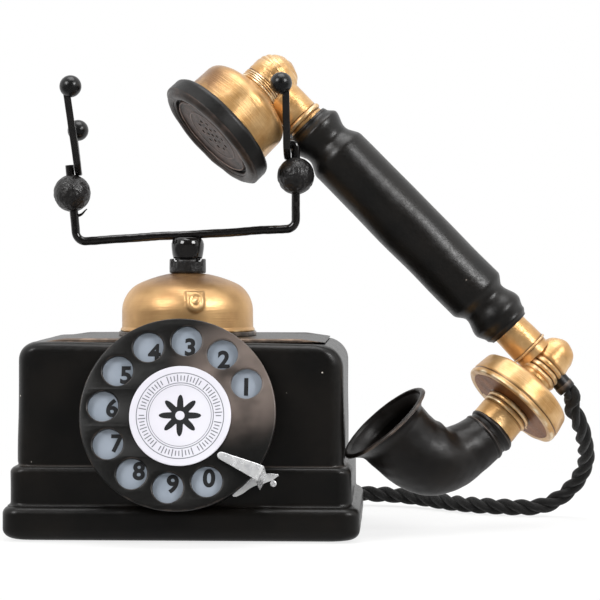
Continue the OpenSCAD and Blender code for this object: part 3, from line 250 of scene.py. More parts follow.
def make_finishes():
    """All materials of the telephone, by a short name."""
    return {
        # Brushed-on black lacquer over a cast case: satin, hand-made waves, pale rubbed edges
        "case": finish(
            "Black Lacquer on Iron", "#080706", "#110e0b", rub_and_glint="#7a6c60",
            rub_and_glint_span=(0.18, 0.6), even=0.2, rough=(0.3, 0.42), cloud=22, grain=1.2,
            relief=(0.5, 0.012), hollow="#2a241f", specks="#a8a29a", IOR=1.36,
        ),
        # The same lacquer rubbed through to bronze on the raised plate
        "plate": finish(
            "Lacquer Rubbed to Bronze", "#12100e", "#1d1815", rub_and_glint="#8a7463",
            rub_and_glint_span=(0.08, 0.4), even=0.45, rough=(0.34, 0.46), cloud=18, relief=(0.2, 0.01),
            IOR=1.42,
        ),
        # Pressed dial: black enamel gone bronze-brown at its edges where fingers wore it, and a
        # painted sheen, a broad grey-brown highlight, over its upper right
        "wheel": finish(
            "Dial Enamel, Rubbed Edges and Painted Sheen", "#080807", "#100f0e", rub_and_glint="#4f443c",
            rub_and_glint_span=(0.3, 1.0), rough=(0.3, 0.4), cloud=24, grain=1.0, relief=(0.3, 0.003),
            painted_light_patch=((27, -62, 76), 35, "#6b605a"), IOR=1.4,
        ),
        # Fired enamel number plate: cool grey-white, glossy and smooth
        "number": finish(
            "Fired Enamel Number Plate", "#8a939e", "#979faa", rough=(0.16, 0.24), cloud=25,
            relief=(0.02, 0.003), IOR=1.5,
        ),
        # Printing ink: black, dull, too thin to have relief
        "ink": finish(
            "Printing Ink", "#0d0e11", "#131417", rough=(0.45, 0.6), relief=(0.0, 0.003), IOR=1.4
        ),
        # Grey ink of the same kind, for the card's fine rings and ticks
        "grey_ink": finish(
            "Grey Printing Ink", "#5f6168", "#6e7077", rough=(0.45, 0.6), relief=(0.0, 0.003),
        ),
        # Calendered card under clear lacquer
        "card": finish(
            "Lacquered Card", "#c8c6ce", "#cecdd4", rough=(0.36, 0.44), cloud=30,
            relief=(0.02, 0.003), IOR=1.4,
        ),
        # Nickel-plated spring steel, polished and then scratched by fingers, with white painted
        # highlights along its edges
        "nickel": finish(
            "Polished Nickel Plate", "#eeeeef", "#bcbec2", rub_and_glint="#ffffff", rough=(0.16, 0.3),
            rub_and_glint_span=(0.25, 0.8), even=0.5, cloud=3.5, grain=2.5, relief=(0.10, 0.004),
            Metallic=0.6, IOR=1.6,
        ),
        # Gold bronze paint brushed over castings: metallic flakes, brush waves, painted shade in
        # the hollows, cream painted highlights on the edges, a brown patch of painted shade on the
        # left of the receiver can, and the varnish that gives it small white highlights
        "gilt": finish(
            "Brushed Gold Bronze Paint", "#c2945a", "#dcb47e", rub_and_glint="#faeac8",
            rub_and_glint_span=(0.12, 0.6), rough=(0.3, 0.44), cloud=9, grain=0.6, relief=(0.32, 0.012),
            hollow="#5c3c22", brush=0.22, painted_light_patch=((10, -6, 212), 19, "#8c6640"), Metallic=0.72,
            IOR=1.7, Coat_Weight=0.15, Coat_Roughness=0.2,
        ),
        # The same paint, darker and browner: painted shade for a face that turns down, away from
        # the light
        "shaded_gilt": finish(
            "Gold Bronze in Painted Shade", "#6e4426", "#935f35", rough=(0.36, 0.5), cloud=12,
            relief=(0.2, 0.02), Metallic=0.95,
        ),
        # The same paint on a spun dome: smoother, with pale painted highlights on its edges,
        # painted shade in its hollows, and round its crown a brown patch that is a painted dark
        # reflection
        "gong": finish(
            "Gold Bronze Paint on Gong", "#bc9160", "#d4aa74", rub_and_glint="#efd9ab",
            rub_and_glint_span=(0.15, 0.7), rough=(0.34, 0.44), cloud=16, grain=0.7, relief=(0.3, 0.003),
            hollow="#7a5a38", hollow_span=(0.35, 1.0), brush=0.10,
            painted_light_patch=((BELL_X, -6, GONG_TOP), 29, "#785637"), Metallic=0.68, IOR=1.6,
        ),
        # Stove enamel on bent wire: glossy black that shows lamps as thin white lines
        "wire": finish(
            "Stove Enamel on Wire", "#0b0a0a", "#141211", rough=(0.06, 0.16), cloud=6,
            grain=0.9, relief=(0.10, 0.008), IOR=1.55,
        ),
        # Hammered iron bead under thin enamel: every facet catches light
        "bead": finish(
            "Hammered Iron, Enamelled", "#121111", "#1d1b1a", rub_and_glint="#33302c",
            rub_and_glint_span=(0.4, 1.1), rough=(0.28, 0.44), cloud=1.5, grain=0.7,
            relief=(0.28, 0.03), IOR=1.45,
        ),
        # Turned balls dipped in enamel: smooth black with small soft highlights
        "tip": finish(
            "Polished Black Enamel", "#0a0a0a", "#0e0e0e", rough=(0.22, 0.32), cloud=8,
            relief=(0.04, 0.003), IOR=1.45,
        ),
        # Turned wood, ebonised and waxed: long soft waves, brown where hands wore it
        "grip": finish(
            "Ebonised Turned Wood", "#0a0908", "#13100d", rub_and_glint="#3b2e26",
            rub_and_glint_span=(0.16, 0.5), rough=(0.28, 0.42), cloud=15, grain=1.1,
            relief=(0.45, 0.015), specks="#6d655c", IOR=1.42,
        ),
        # Vulcanised rubber: black gone brown with light, satin
        "horn": finish(
            "Vulcanised Rubber, Browned", "#0a0706", "#130e0a", rub_and_glint="#5a4e46",
            rub_and_glint_span=(0.25, 0.7), even=0.35, rough=(0.34, 0.46), cloud=20, grain=0.9,
            relief=(0.35, 0.012), IOR=1.4,
        ),
        # Turned rubber: black and satin, dulled and browned where it meets the ear, with painted
        # shade, a deeper black, in its inner corners
        "ear_cap": finish(
            "Vulcanised Rubber, Worn Face", "#080706", "#0f0d0b", rub_and_glint="#4a3c35",
            rub_and_glint_span=(0.3, 0.9), even=0.4, rough=(0.34, 0.46), cloud=16, relief=(0.25, 0.012),
            hollow="#060505", IOR=1.4,
        ),
        # Pressed steel under old varnish: dull brown, paler on what stands out, with painted
        # shade, near black, in its hollows and holes
        "ear_plate": finish(
            "Browned Steel Diaphragm Cover", "#2a1d18", "#48362e", rub_and_glint="#7d6c64",
            rub_and_glint_span=(0.15, 0.6), even=0.4, rough=(0.42, 0.56), cloud=5, relief=(0.25, 0.02),
            hollow="#080605", hollow_span=(0.15, 0.5), IOR=1.4,
        ),
        # Twisted cotton: black and matt, with a faint sheen on its slanting yarns
        "cord": cord_finish("Black Cotton Rope", "#030303", "#0c0a09"),
        # Pressed wool: dark grey-green, with hardly a highlight
        "felt": finish(
            "Pressed Wool Felt", "#2a2d29", "#363a35", rough=(0.85, 0.95), cloud=3, grain=0.4,
            relief=(0.2, 0.15), IOR=1.4,
        ),
        # Turned and left bare: light grey, with fine upright streaks
        "steel": finish(
            "Turned Steel", "#a9abae", "#bcbdc0", rough=(0.26, 0.38), cloud=8, grain=0.5,
            relief=(0.02, 0.01), stretch=(4, 1, 1), Metallic=1.0,
        ),
        # Stamped from bright sheet: yellow, with soft clear reflections
        "brass": finish(
            "Stamped Brass", "#b8923f", "#c9a552", rough=(0.24, 0.36), cloud=9, grain=0.6,
            relief=(0.02, 0.01), Metallic=1.0,
        ),
        # Moulded resin: reddish brown, with a low gloss from the mould
        "bakelite": finish(
            "Moulded Phenolic", "#2d1b13", "#3d261b", rough=(0.28, 0.38), cloud=6,
            relief=(0.03, 0.01), IOR=1.6,
        ),
        # Enamelled wire in close turns under varnish: coppery, with fine level ridges
        "winding": finish(
            "Varnished Copper Winding", "#6b3e1c", "#8a5426", rough=(0.3, 0.42), cloud=5,
            grain=0.35, relief=(0.03, 0.08), stretch=(1, 1, 6), IOR=1.5,
        ),
        # Sheet dipped in tin: pale grey, with cloudy reflections
        "tin": finish(
            "Tinned Sheet", "#85888b", "#989b9e", rough=(0.3, 0.44), cloud=10,
            relief=(0.03, 0.01), Metallic=1.0,
        ),
    }


FINISHES = {}


# ---- Meshes ----


def wave_field(points, size, seed):
    """Smooth hand-made unevenness: the mean of 9 sine waves that cross the points, each
    in a direction and phase of its own and about size millimetres long. It mostly stays
    between -1 and 1."""
    rng = np.random.default_rng(seed)
    ways = rng.normal(size=(9, 3))
    ways /= np.linalg.norm(ways, axis=1)[:, None]
    rates = 2 * math.pi / size * rng.uniform(0.7, 1.4, 9)
    phases = rng.uniform(0, 2 * math.pi, 9)
    return np.sin(points @ (ways * rates[:, None]).T + phases).mean(-1) * 1.8


def around(count):
    """Evenly spaced angles of a full turn."""
    return np.arange(count) * 2 * math.pi / count


def polar(radius, angle, height=()):
    """Points in X and Y by radius and angle, and in Z if there is a height."""
    return np.stack(np.broadcast_arrays(
        radius * np.cos(angle), radius * np.sin(angle), *height), -1)


def outward(vectors):
    """Vectors cut or drawn out to unit length."""
    return vectors / np.maximum(np.linalg.norm(vectors, axis=-1, keepdims=True), 1e-6)


def run_of(line):
    """How far along a line each of its points lies."""
    return np.concatenate([[0], np.cumsum(np.linalg.norm(np.diff(line, axis=0), axis=1))])


def soft_step(share):
    """A share from 0 to 1 eased at both ends: 3 f^2 - 2 f^3."""
    share = np.clip(share, 0, 1)
    return share * share * (3 - 2 * share)


def placed(points, at):
    """Points carried to a place by a 4 by 4."""
    return points @ at[:3, :3].T + at[:3, 3]


def linked(name, data):
    """A new object in the scene."""
    made = bpy.data.objects.new(name, data)
    bpy.context.scene.collection.objects.link(made)
    return made


def evaluated(made):
    """What an object's modifiers, curve or text come to, as a mesh."""
    bpy.context.view_layer.update()
    return bpy.data.meshes.new_from_object(
        made.evaluated_get(bpy.context.evaluated_depsgraph_get()))


def apply_modifiers(made):
    """Turns an object's mesh into what its modifiers make of it."""
    mesh = evaluated(made)
    made.modifiers.clear()
    made.data = mesh


def weld(made):
    """Adds a modifier that joins points within 0.01 mm of each other."""
    made.modifiers.new("Weld", "WELD").merge_threshold = 0.00001


def read_values(owner, key, count, kind=float):
    """A flat property of a mesh's parts as an array."""
    values = np.empty(count, kind)
    owner.foreach_get(key, values)
    return values


def mark_edges(mesh):
    """Stores each vertex's curvature in 1/mm as the attribute edge: twice how far a
    neighbour lies below the vertex's tangent plane, over its distance squared."""
    count = len(mesh.vertices)
    points = read_values(mesh.vertices, "co", count * 3).reshape(-1, 3) * MM
    normals = read_values(mesh.vertex_normals, "vector", count * 3).reshape(-1, 3)
    pairs = read_values(mesh.edges, "vertices", len(mesh.edges) * 2, int).reshape(-1, 2)
    here, there = np.vstack([pairs, pairs[:, ::-1]]).T
    gaps = points[there] - points[here]
    length2 = np.maximum((gaps**2).sum(1), 0.01)
    bends = -2 * (gaps * normals[here]).sum(1) / length2
    ways = np.maximum(np.bincount(here, minlength=count), 1)
    curve = np.bincount(here, bends, count) / ways
    for _ in range(3):
        curve = 0.5 * curve + 0.5 * np.bincount(here, curve[there], count) / ways
    edge = mesh.attributes.new("edge", "FLOAT", "POINT")
    edge.data.foreach_set("value", curve.astype(np.float32))


def change_edges(made, change):
    """Runs a function on the values of a piece's edge attribute and stores its result."""
    edge = made.data.attributes["edge"].data
    values = read_values(edge, "value", len(edge), np.float32)
    change(values)
    edge.foreach_set("value", values)


def dress(made, body, look, nodes=(), crease=0):
    """Smooths an object, marks its edges, paints it with a finish, and sets it on its
    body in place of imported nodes."""
    mesh = made.data
    mesh.materials.clear()
    mesh.materials.append(FINISHES[look])
    mesh.polygons.foreach_set("use_smooth", np.ones(len(mesh.polygons), bool))
    mark_edges(mesh)
    if crease:
        mesh.set_sharp_from_angle(angle=math.radians(crease))
    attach(made, body)
    if nodes:
        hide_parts(*nodes)


def add_piece(name, points, faces, body, look, nodes=(), crease=38, uv=None):
    """A dressed mesh from points in millimetres and faces, turned to face outwards."""
    corners = np.concatenate([f[:, [0, 1, 2]] for f in faces]
                             + [f[:, [0, 2, 3]] for f in faces if f.shape[1] == 4])
    a, b, c = (points[corners[:, i]] for i in range(3))
    middle = points.mean(0)
    if ((a - middle) * np.cross(b - middle, c - middle)).sum() < 0:
        faces = [f[:, ::-1] for f in faces]
    mesh = bpy.data.meshes.new(name)
    mesh.from_pydata((points / MM).tolist(), [], [q for f in faces for q in f.tolist()])
    if uv is not None:
        layer = mesh.uv_layers.new(name="lay")
        picks = read_values(mesh.loops, "vertex_index", len(mesh.loops), int)
        layer.data.foreach_set("uv", uv[picks].astype(np.float32).ravel())
    mesh.validate()
    mesh.update()
    made = linked(name, mesh)
    dress(made, body, look, nodes, crease)
    return made


def add_grid(name, grid, at, body, look, nodes=(), loop=False, crease=38, uv=None):
    """A piece from a grid of rows that each go round it, carried to its place. A loop
    joins its last row to its first; any other grid is closed by a pole at each end."""
    rows, sides = grid.shape[:2]
    points = grid.reshape(-1, 3)
    index = np.arange(rows * sides).reshape(rows, sides)
    if loop:
        index = np.vstack([index, index[:1]])
    index = np.hstack([index, index[:, :1]])
    low, high = index[:-1], index[1:]
    faces = [np.stack([low[:, :-1], low[:, 1:], high[:, 1:], high[:, :-1]], -1).reshape(-1, 4)]
    if not loop:
        points = np.vstack([points, grid[0].mean(0), grid[-1].mean(0)])
        pole = np.full(sides, rows * sides)
        faces += [np.stack([pole, index[0, 1:], index[0, :-1]], 1),
                  np.stack([pole + 1, index[-1, :-1], index[-1, 1:]], 1)]
    if uv is not None:
        uv = np.vstack([uv.reshape(-1, 2), uv[0, :1], uv[-1, -1:]])
    return add_piece(name, placed(points, at), faces, body, look, nodes, crease, uv)


def lathe(name, profile, at, body, look, nodes=(), loop=False, sides=96, wobble=0.0, size=18,
          seed=1, carve=None, crease=38):
    """A turned piece: the profile's (radius, height) points carried round the Z axis.

    carve is a function of angle, radius and height, each a grid, that gives how far the
    surface stands out. wobble is the height of its hand-made unevenness. A loop closes on
    itself as a ring does, and any other profile is closed at both ends on the axis.
    """
    profile = np.array(profile, float)
    angle = around(sides)
    radius, height = profile[:, :1], profile[:, 1:]
    ahead = np.roll(profile, -1, 0) - np.roll(profile, 1, 0)
    if not loop:
        ahead[0], ahead[-1] = profile[1] - profile[0], profile[-1] - profile[-2]
    ahead /= np.maximum(np.linalg.norm(ahead, axis=1), 1e-9)[:, None]
    grid = polar(radius, angle, [height])
    facing = polar(ahead[:, 1:], angle, [-ahead[:, :1]])
    lift = wobble * wave_field(grid, size, seed) * np.minimum(radius / 3, 1)
    if carve:
        lift = lift + carve(angle[None, :] + 0 * radius, radius + 0 * angle, height + 0 * angle)
    # The streaks' own place: as long round the piece out as back, so that no seam shows
    there = np.abs(angle - math.pi) * radius.max()
    uv = np.stack(np.broadcast_arrays(there, run_of(profile)[:, None]), -1)
    return add_grid(name, grid + facing * lift[..., None], at, body, look, nodes, loop, crease,
                    uv)


def fine(points, step=0.6):
    """A profile with more points: each straight stretch is cut into steps."""
    out = []
    for (x0, y0), (x1, y1) in zip(points[:-1], points[1:]):
        n = max(1, int(math.hypot(x1 - x0, y1 - y0) / step))
        out += [(x0 + (x1 - x0) * i / n, y0 + (y1 - y0) * i / n) for i in range(n)]
    return out + [points[-1]]


def arc(cx, cy, r, start, end, n=8):
    """Points on an arc of a profile, by its centre, radius and angles in degrees."""
    a = np.radians(np.linspace(start, end, n + 1))
    return list(zip(cx + r * np.cos(a), cy + r * np.sin(a)))


def ribs_along(r, start, pitch, count, rib, n=7, sweep=75):
    """Round ribs, one above the other, as points of a profile."""
    return [p for k in range(count)
            for p in arc(r - rib, start + pitch * k, rib, -sweep, sweep, n)]


def smooth_path(points, step=1.0):
    """A path through the points as one Catmull-Rom curve, with a point about every step."""
    p = np.array(points, float)
    p = np.vstack([2 * p[0] - p[1], p, 2 * p[-1] - p[-2]])
    out = []
    for i in range(1, len(p) - 2):
        a, b, c, d = p[i - 1 : i + 3]
        n = max(2, int(np.linalg.norm(c - b) / step))
        t = (np.arange(n) / n)[:, None]
        out.append(0.5 * (2 * b + (c - a) * t + (2 * a - 5 * b + 4 * c - d) * t**2
                          + (3 * b - a - 3 * c + d) * t**3))
    return np.vstack(out + [p[-2:-1]])


def carried(name, path, section, body, look, nodes=(), up=(0, 1, 0), at=np.eye(4),
            wobble=0.0, size=10, seed=1, crease=38, uv=None):
    """A section carried along a path and closed at both ends. section is one outline of
    (side, lift) points, or one for each point of the path. It doesn't twist: each side is
    the last one with the new tangent's share taken out."""
    path = np.array(path, float)
    tangent = np.gradient(path, axis=0)
    tangent /= np.linalg.norm(tangent, axis=1)[:, None]
    side = np.empty_like(path)
    last = np.cross(tangent[0], np.array(up, float))
    for i, way in enumerate(tangent):
        last = last - way * (last @ way)
        last = last / np.linalg.norm(last)
        side[i] = last
    lift = np.cross(tangent, side)
    section = np.asarray(section, float)
    if section.ndim == 2:
        section = np.broadcast_to(section, (len(path), *section.shape))
    grid = path[:, None] + section[..., :1] * side[:, None] + section[..., 1:] * lift[:, None]
    if wobble:
        out = outward(grid - path[:, None])
        grid = grid + out * (wobble * wave_field(grid, size, seed))[..., None]
    return add_grid(name, grid, at, body, look, nodes, False, crease, uv)


def soft_bars(widths, thick, r):
    """Rectangular sections with rounded edges, centred, one for each width."""
    corners = [(1, 1), (-1, 1), (-1, -1), (1, -1)]
    return np.array([[p for k, (sx, sy) in enumerate(corners)
                      for p in arc(sx * (w / 2 - r), sy * (thick / 2 - r), r, 90 * k,
                                   90 * k + 90, 5)] for w in widths])


def rectangles(stations, side_steps=40, corner_steps=10):
    """Rounded rectangles as grids of X, Y and height, one row for each station of half
    width, half depth, corner radius and height. A row goes round corner by corner: each
    corner is a quarter circle and each side a straight run to the next."""
    s = np.array(stations, float)
    terms = []
    for k, (sx, sy) in enumerate([(1, -1), (1, 1), (-1, 1), (-1, -1)]):
        for i in range(corner_steps + 1):
            t = math.pi / 2 * k - math.pi / 2 + math.pi / 2 * i / corner_steps
            terms.append((sx, math.cos(t) - sx, sy, math.sin(t) - sy))
        for i in range(1, side_steps):
            f = 2 * i / side_steps - 1
            terms.append((-f * sx, f * sx, sy, 0) if k % 2 else (sx, 0, -f * sy, f * sy))
    xa, xr, yb, yr = np.array(terms, float).T
    x = s[:, :1] * xa + s[:, 2:3] * xr
    return x, s[:, 1:2] * yb + s[:, 2:3] * yr, s[:, 3:] + 0 * x


# ---- Property groups ----


def length(name, description, default, low, high):
    """A length in metres."""
    return FloatProperty(name=name, description=description, unit="LENGTH", default=default,
                         min=low, max=high)


def angle_property(name, description, default):
    """An angle in radians, shown in degrees."""
    return FloatProperty(name=name, description=description, subtype="ANGLE",
                         unit="ROTATION", default=default)


class StageSettings(bpy.types.PropertyGroup):
    """Camera, lamps, floor and background."""

    camera_place: FloatVectorProperty(
        name="Camera Place", description="Where the camera stands", subtype="TRANSLATION",
        unit="LENGTH", default=(0.1017, -1.0973, 0.1351))
    camera_pitch: angle_property("Camera Pitch", "How far the camera looks down", 0.0233)
    camera_yaw: angle_property("Camera Yaw", "How far the camera turns to the left", 0.0447)
    focal_length: FloatProperty(
        name="Focal Length", description="Focal length on a 36 mm sensor, in millimetres",
        default=137.91, min=10.0)
    key_power: FloatProperty(
        name="Key Power", description="Power of the right soft box, which the others follow",
        unit="POWER", default=13.2, min=0.0)
    floor_colour: FloatVectorProperty(
        name="Floor Colour", description="Colour of the floor", subtype="COLOR", size=4,
        default=linear("#f1f1f0"), min=0.0, max=1.0)


class CordSettings(bpy.types.PropertyGroup):
    """The twisted cord between the handset and the case."""

    radius: length("Radius", "Radius of the rope over its strands", 0.0042, 0.002, 0.006)
    lay: length("Lay", "Length along the rope in which a strand goes round once", 0.027, 0.01,
                0.06)


class CaseSettings(bpy.types.PropertyGroup):
    """Foot, plinth, case and top plate."""

    unevenness: length("Unevenness", "Height of the casting's soft waves", 0.00022, 0.0, 0.001)
    corner: length("Corner Radius", "Radius of the case's upright corners", 0.007, 0.002,
                   0.012)


class DialSettings(bpy.types.PropertyGroup):
    """Finger wheel, numbers, card and finger stop."""

    number_height: length("Number Height", "Height of a number on the plate", 0.0078, 0.004,
                          0.01)
    number_ring: length("Number Ring", "Radius of the circle that the numbers stand on",
                        0.0319, 0.028, 0.036)
    tick_count: FloatProperty(
        name="Ticks", description="Ticks in the card's printed ring", default=72, min=12,
        max=120, precision=0)


class BellSettings(bpy.types.PropertyGroup):
    """Gong and crown nut."""

    boss_height: length("Boss Height", "How far the boss stands out of the gong", 0.0019, 0.0,
                        0.003)
    dents: length("Dents", "Height of the gong's unevenness", 0.00012, 0.0, 0.0005)


class CradleSettings(bpy.types.PropertyGroup):
    """Bent wire, beads and forks."""

    hammer_depth: length("Hammer Depth", "Depth of the beads' hammered facets", 0.00022, 0.0,
                         0.001)
    wire_radius: length("Wire Radius", "Radius of the cradle wire", 0.00205, 0.001, 0.003)


class HandsetSettings(bpy.types.PropertyGroup):
    """Grip, gilt fittings, receiver and horn."""

    unevenness: length("Unevenness", "Height of the turned grip's soft waves", 0.00028, 0.0,
                       0.001)
    horn_wall: length("Horn Wall", "Thickness of the horn at its rim", 0.002, 0.001, 0.004)


GROUPS = {
    "stage": StageSettings, "cord": CordSettings, "case": CaseSettings, "dial": DialSettings,
    "bell": BellSettings, "cradle": CradleSettings, "handset": HandsetSettings,
}


def settings(name):
    """One of the scene's property groups."""
    return getattr(bpy.context.scene, "telephone_" + name)


def measure(group, name):
    """One of the groups' lengths, in millimetres."""
    return getattr(settings(group), name) * MM


# ---- Stage ----

WHITE = (1, 1, 1, 1)
LIT = (0.05, 0, 0.11)  # where the lamps point, in metres
LAMPS = (  # name, place, width, and power as a share of the key's
    ("Soft Box Left", (-0.85, -1.0, 0.95), 0.55, 0.9),
    ("Soft Box Right", (1.05, -0.85, 0.85), 0.5, 1.0),
    ("Soft Box Top", (0.1, -0.1, 1.5), 0.9, 0.8),
)


def make_floor(colour):
    """A pale matt floor; the camera and reflections see most of it as white."""
    mesh = bpy.data.meshes.new("Floor")
    mesh.from_pydata([(-20, -20, 0), (20, -20, 0), (20, 20, 0), (-20, 20, 0)], [],
                     [(0, 1, 2, 3)])
    made = bpy.data.materials.new("Pale Paper Floor")
    add = partial(add_node, emptied(made))
    place = add("TexCoord", out="Object")
    path = add("LightPath", out=None)
    # To the camera the paper grows white away from the telephone, so no horizon shows
    far = add("VectorMath", {0: place, 1: (0.05, 0.02, 0)}, "Value", operation="DISTANCE")
    clear = add("MapRange", {"Value": far, "From Min": 0.1, "From Max": 0.3, "To Min": 0.78},
                interpolation_type="SMOOTHSTEP")
    shown = add("Math", {0: path["Is Camera Ray"], 1: clear}, operation="MULTIPLY")
    # Reflections find it white behind the telephone and dim in front
    depth = add("SeparateXYZ", {"Vector": place}, "Y")
    dim = add("MapRange", {"Value": depth, "From Min": -0.16, "From Max": 0.12,
                           "To Min": 0.25, "To Max": 0.95}, interpolation_type="SMOOTHSTEP")
    shine = add("Math", {0: path["Is Glossy Ray"], 1: path["Is Transmission Ray"]},
                operation="MAXIMUM")
    glow = add("Mix", {0: path["Is Camera Ray"], 2: dim, 3: 1.0}, data_type="FLOAT")
    white = add("Emission", {"Color": WHITE, "Strength": glow})
    paper = add("BsdfDiffuse", {"Color": colour})
    share = add("Math", {0: shown, 1: shine}, operation="MAXIMUM")
    mixed = add("MixShader", {0: share, 1: paper, 2: white})
    add("OutputMaterial", {"Surface": mixed})
    mesh.materials.append(made)
    linked("Floor", mesh)


def make_surround(scene):
    """White to the camera. For light and reflections it is white behind and beside the
    telephone, and dark in front of it, as a studio is behind the camera."""
    scene.world = bpy.data.worlds.new("Studio")
    add = partial(add_node, emptied(scene.world))
    way = add("TexCoord", out="Generated")
    depth = add("SeparateXYZ", {"Vector": way}, "Y")
    back = add("MapRange", {"Value": depth, "From Min": -0.75, "From Max": 0.05,
                            "To Min": 0.07}, interpolation_type="SMOOTHSTEP")
    camera = add("LightPath", out="Is Camera Ray")
    glow = add("Mix", {0: camera, 2: back, 3: 1.0}, data_type="FLOAT")
    white = add("Background", {"Color": WHITE, "Strength": glow})
    add("OutputWorld", {"Surface": white})


class TELEPHONE_OT_stage(bpy.types.Operator):
    """Set the camera, three soft boxes, a pale floor and a white surround"""

    bl_idname = "telephone.stage"
    bl_label = "Stage"

    def execute(self, context):
        group = settings("stage")
        scene = context.scene
        lens = bpy.data.cameras.new("Camera")
        lens.lens, lens.sensor_width = group.focal_length, 36
        lens.clip_start, lens.clip_end = 0.05, 60
        camera = linked("Camera", lens)
        camera.location = group.camera_place
        camera.rotation_euler = (math.pi / 2 - group.camera_pitch, 0, group.camera_yaw)
        scene.camera = camera
        scene.view_settings.view_transform = "Standard"
        for name, place, size, share in LAMPS:
            data = bpy.data.lights.new(name, "AREA")
            data.energy, data.size, data.shape = group.key_power * share, size, "SQUARE"
            lamp = linked(name, data)
            lamp.location = place
            away = Vector(place) - Vector(LIT)
            lamp.rotation_euler = away.to_track_quat("Z", "Y").to_euler()
        make_floor(group.floor_colour[:])
        make_surround(scene)
        return {"FINISHED"}


# ---- Cord ----

CORD_ROUTE = [
    (183.0, 14.5, 58), (187.4, 19.5, 49.5), (190.8, 29, 38.5), (191.9, 39, 29.4),
    (189.3, 47, 20.4), (183.2, 52, 12.2), (175.4, 54, 6.8), (167, 55, 4.6), (155, 58, 4.3),
    (143, 63.5, 4.3), (132, 71, 4.3), (120.5, 81, 4.6), (108, 91, 5.4), (95, 97, 5.9),
    (82, 99, 6.2), (69, 97.5, 6.8), (57.5, 93, 7.5), (49, 86, 8.2), (44, 73.5, 8.8), GLAND,
]
BUSH_TIP = 14.8


class TELEPHONE_OT_cord(bpy.types.Operator):
    """Make the twisted cord from its gland in the case to its bush in the handset"""

    bl_idname = "telephone.cord"
    bl_label = "Cord"

    def execute(self, context):
        radius, lay = measure("cord", "radius"), measure("cord", "lay")
        bush = [placed(np.array([0, 0, BUSH_TIP + d]), ALONG_BUSH) for d in (0.05, 4)]
        path = smooth_path([*bush, *CORD_ROUTE][::-1], 0.8)
        along = run_of(path)
        # Three strands: the outline is the outer edge of three circles that touch
        spin = around(60)
        strand = radius * 0.536
        centre = radius - strand
        near = (spin + math.pi / 3) % (2 * math.pi / 3) - math.pi / 3
        reach = centre * np.cos(near) + np.sqrt(strand**2 - (centre * np.sin(near)) ** 2)
        swell = 1 + 0.012 * np.sin(along / 3.1) + 0.01 * np.sin(along / 1.3 + 1)
        angle = spin[None, :] + 2 * math.pi * along[:, None] / lay
        ends = np.clip(np.minimum(along, along[-1] - along) / 1.0, 0, 1)
        section = polar(1, angle) * (
            reach[None, :, None] * (swell * (0.94 + 0.06 * ends))[:, None, None] * 0.985)
        turn_step, run_step = 0.21, 1.6  # of the yarns' map: radians round, millimetres along
        uv = np.stack([np.broadcast_to(near / turn_step, angle.shape),
                       np.broadcast_to(along[:, None] / run_step, angle.shape)], -1)
        cord = carried("handset_cord", path, section, "base", "cord", ["cord"], up=(0, 0, 1),
                       crease=0, uv=uv)
        cord.parent = None
        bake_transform(cord)
        return {"FINISHED"}


# ---- Case ----


def loft(name, stations, loop, node, seed, centre=0.0, sag=False):
    """Rounded rectangles stacked along Z, each moved to a centre in X, with soft waves. A
    sag drops the top by up to 0.8 mm to the right and lifts it by 0.4 mm on the left."""
    s = np.array(stations, float)
    x, y, z = rectangles(stations)
    x = x + np.array(centre)[..., None]
    if sag:
        z = z + np.clip((z - 75) / 15, 0, 1) * (
            0.4 * np.clip((-x - 35) / 20, 0, 1) - 0.8 * np.clip((x - 33) / 40, 0, 1))
    grid = np.stack([x, y, z], -1)
    swell = measure("case", "unevenness") * wave_field(grid, 34, seed)
    grid = grid + outward(grid * [1, 1, 0]) * swell[..., None] * np.minimum(
        s[:, :1] / 40, 1)[..., None]
    return add_grid(name, grid, np.eye(4), "base", "case", [node], loop, 45)


def make_foot():
    """A slab with a rounded bottom edge, a rounded top edge and a recess in its top."""
    a, b = (FOOT_HIGH - FOOT_LOW)[:2] / 2
    a, b = a - 0.3, min(b, 57.5)
    top, floor, shoulder = CASE_LOW[2], 4.6, 3.6
    rows = [(1, 1, 1, 0.6), (a - 30, b - 30, 5, 0.6)]
    rows += [(a - 6 + x, b - 5 + x * 5 / 6, 8, 5.6 + y * 5 / 6)
             for x, y in arc(0, 0, 6, -80, 0, 10)]
    rows += [(a, b, 8, z) for z in (6.3, 7.1, 7.9, 9.5, 10.5, 11.5)]
    rows += [(a - shoulder + x, b - shoulder + x, 8 - (shoulder - x) / 2, top - shoulder + y)
             for x, y in arc(0, 0, shoulder, 0, 90, 10)]
    rows += [(a - 8, b - 8, 5, top), (a - 10.6, b - 10.2, 4, top),
             (a - 10.8, b - 10.4, 4, top - 0.5), (a - 10.8, b - 10.4, 4, floor),
             (30, 20, 4, floor), (1, 1, 1, floor)]
    loft("case_foot", rows, False, "foot_base", 3)


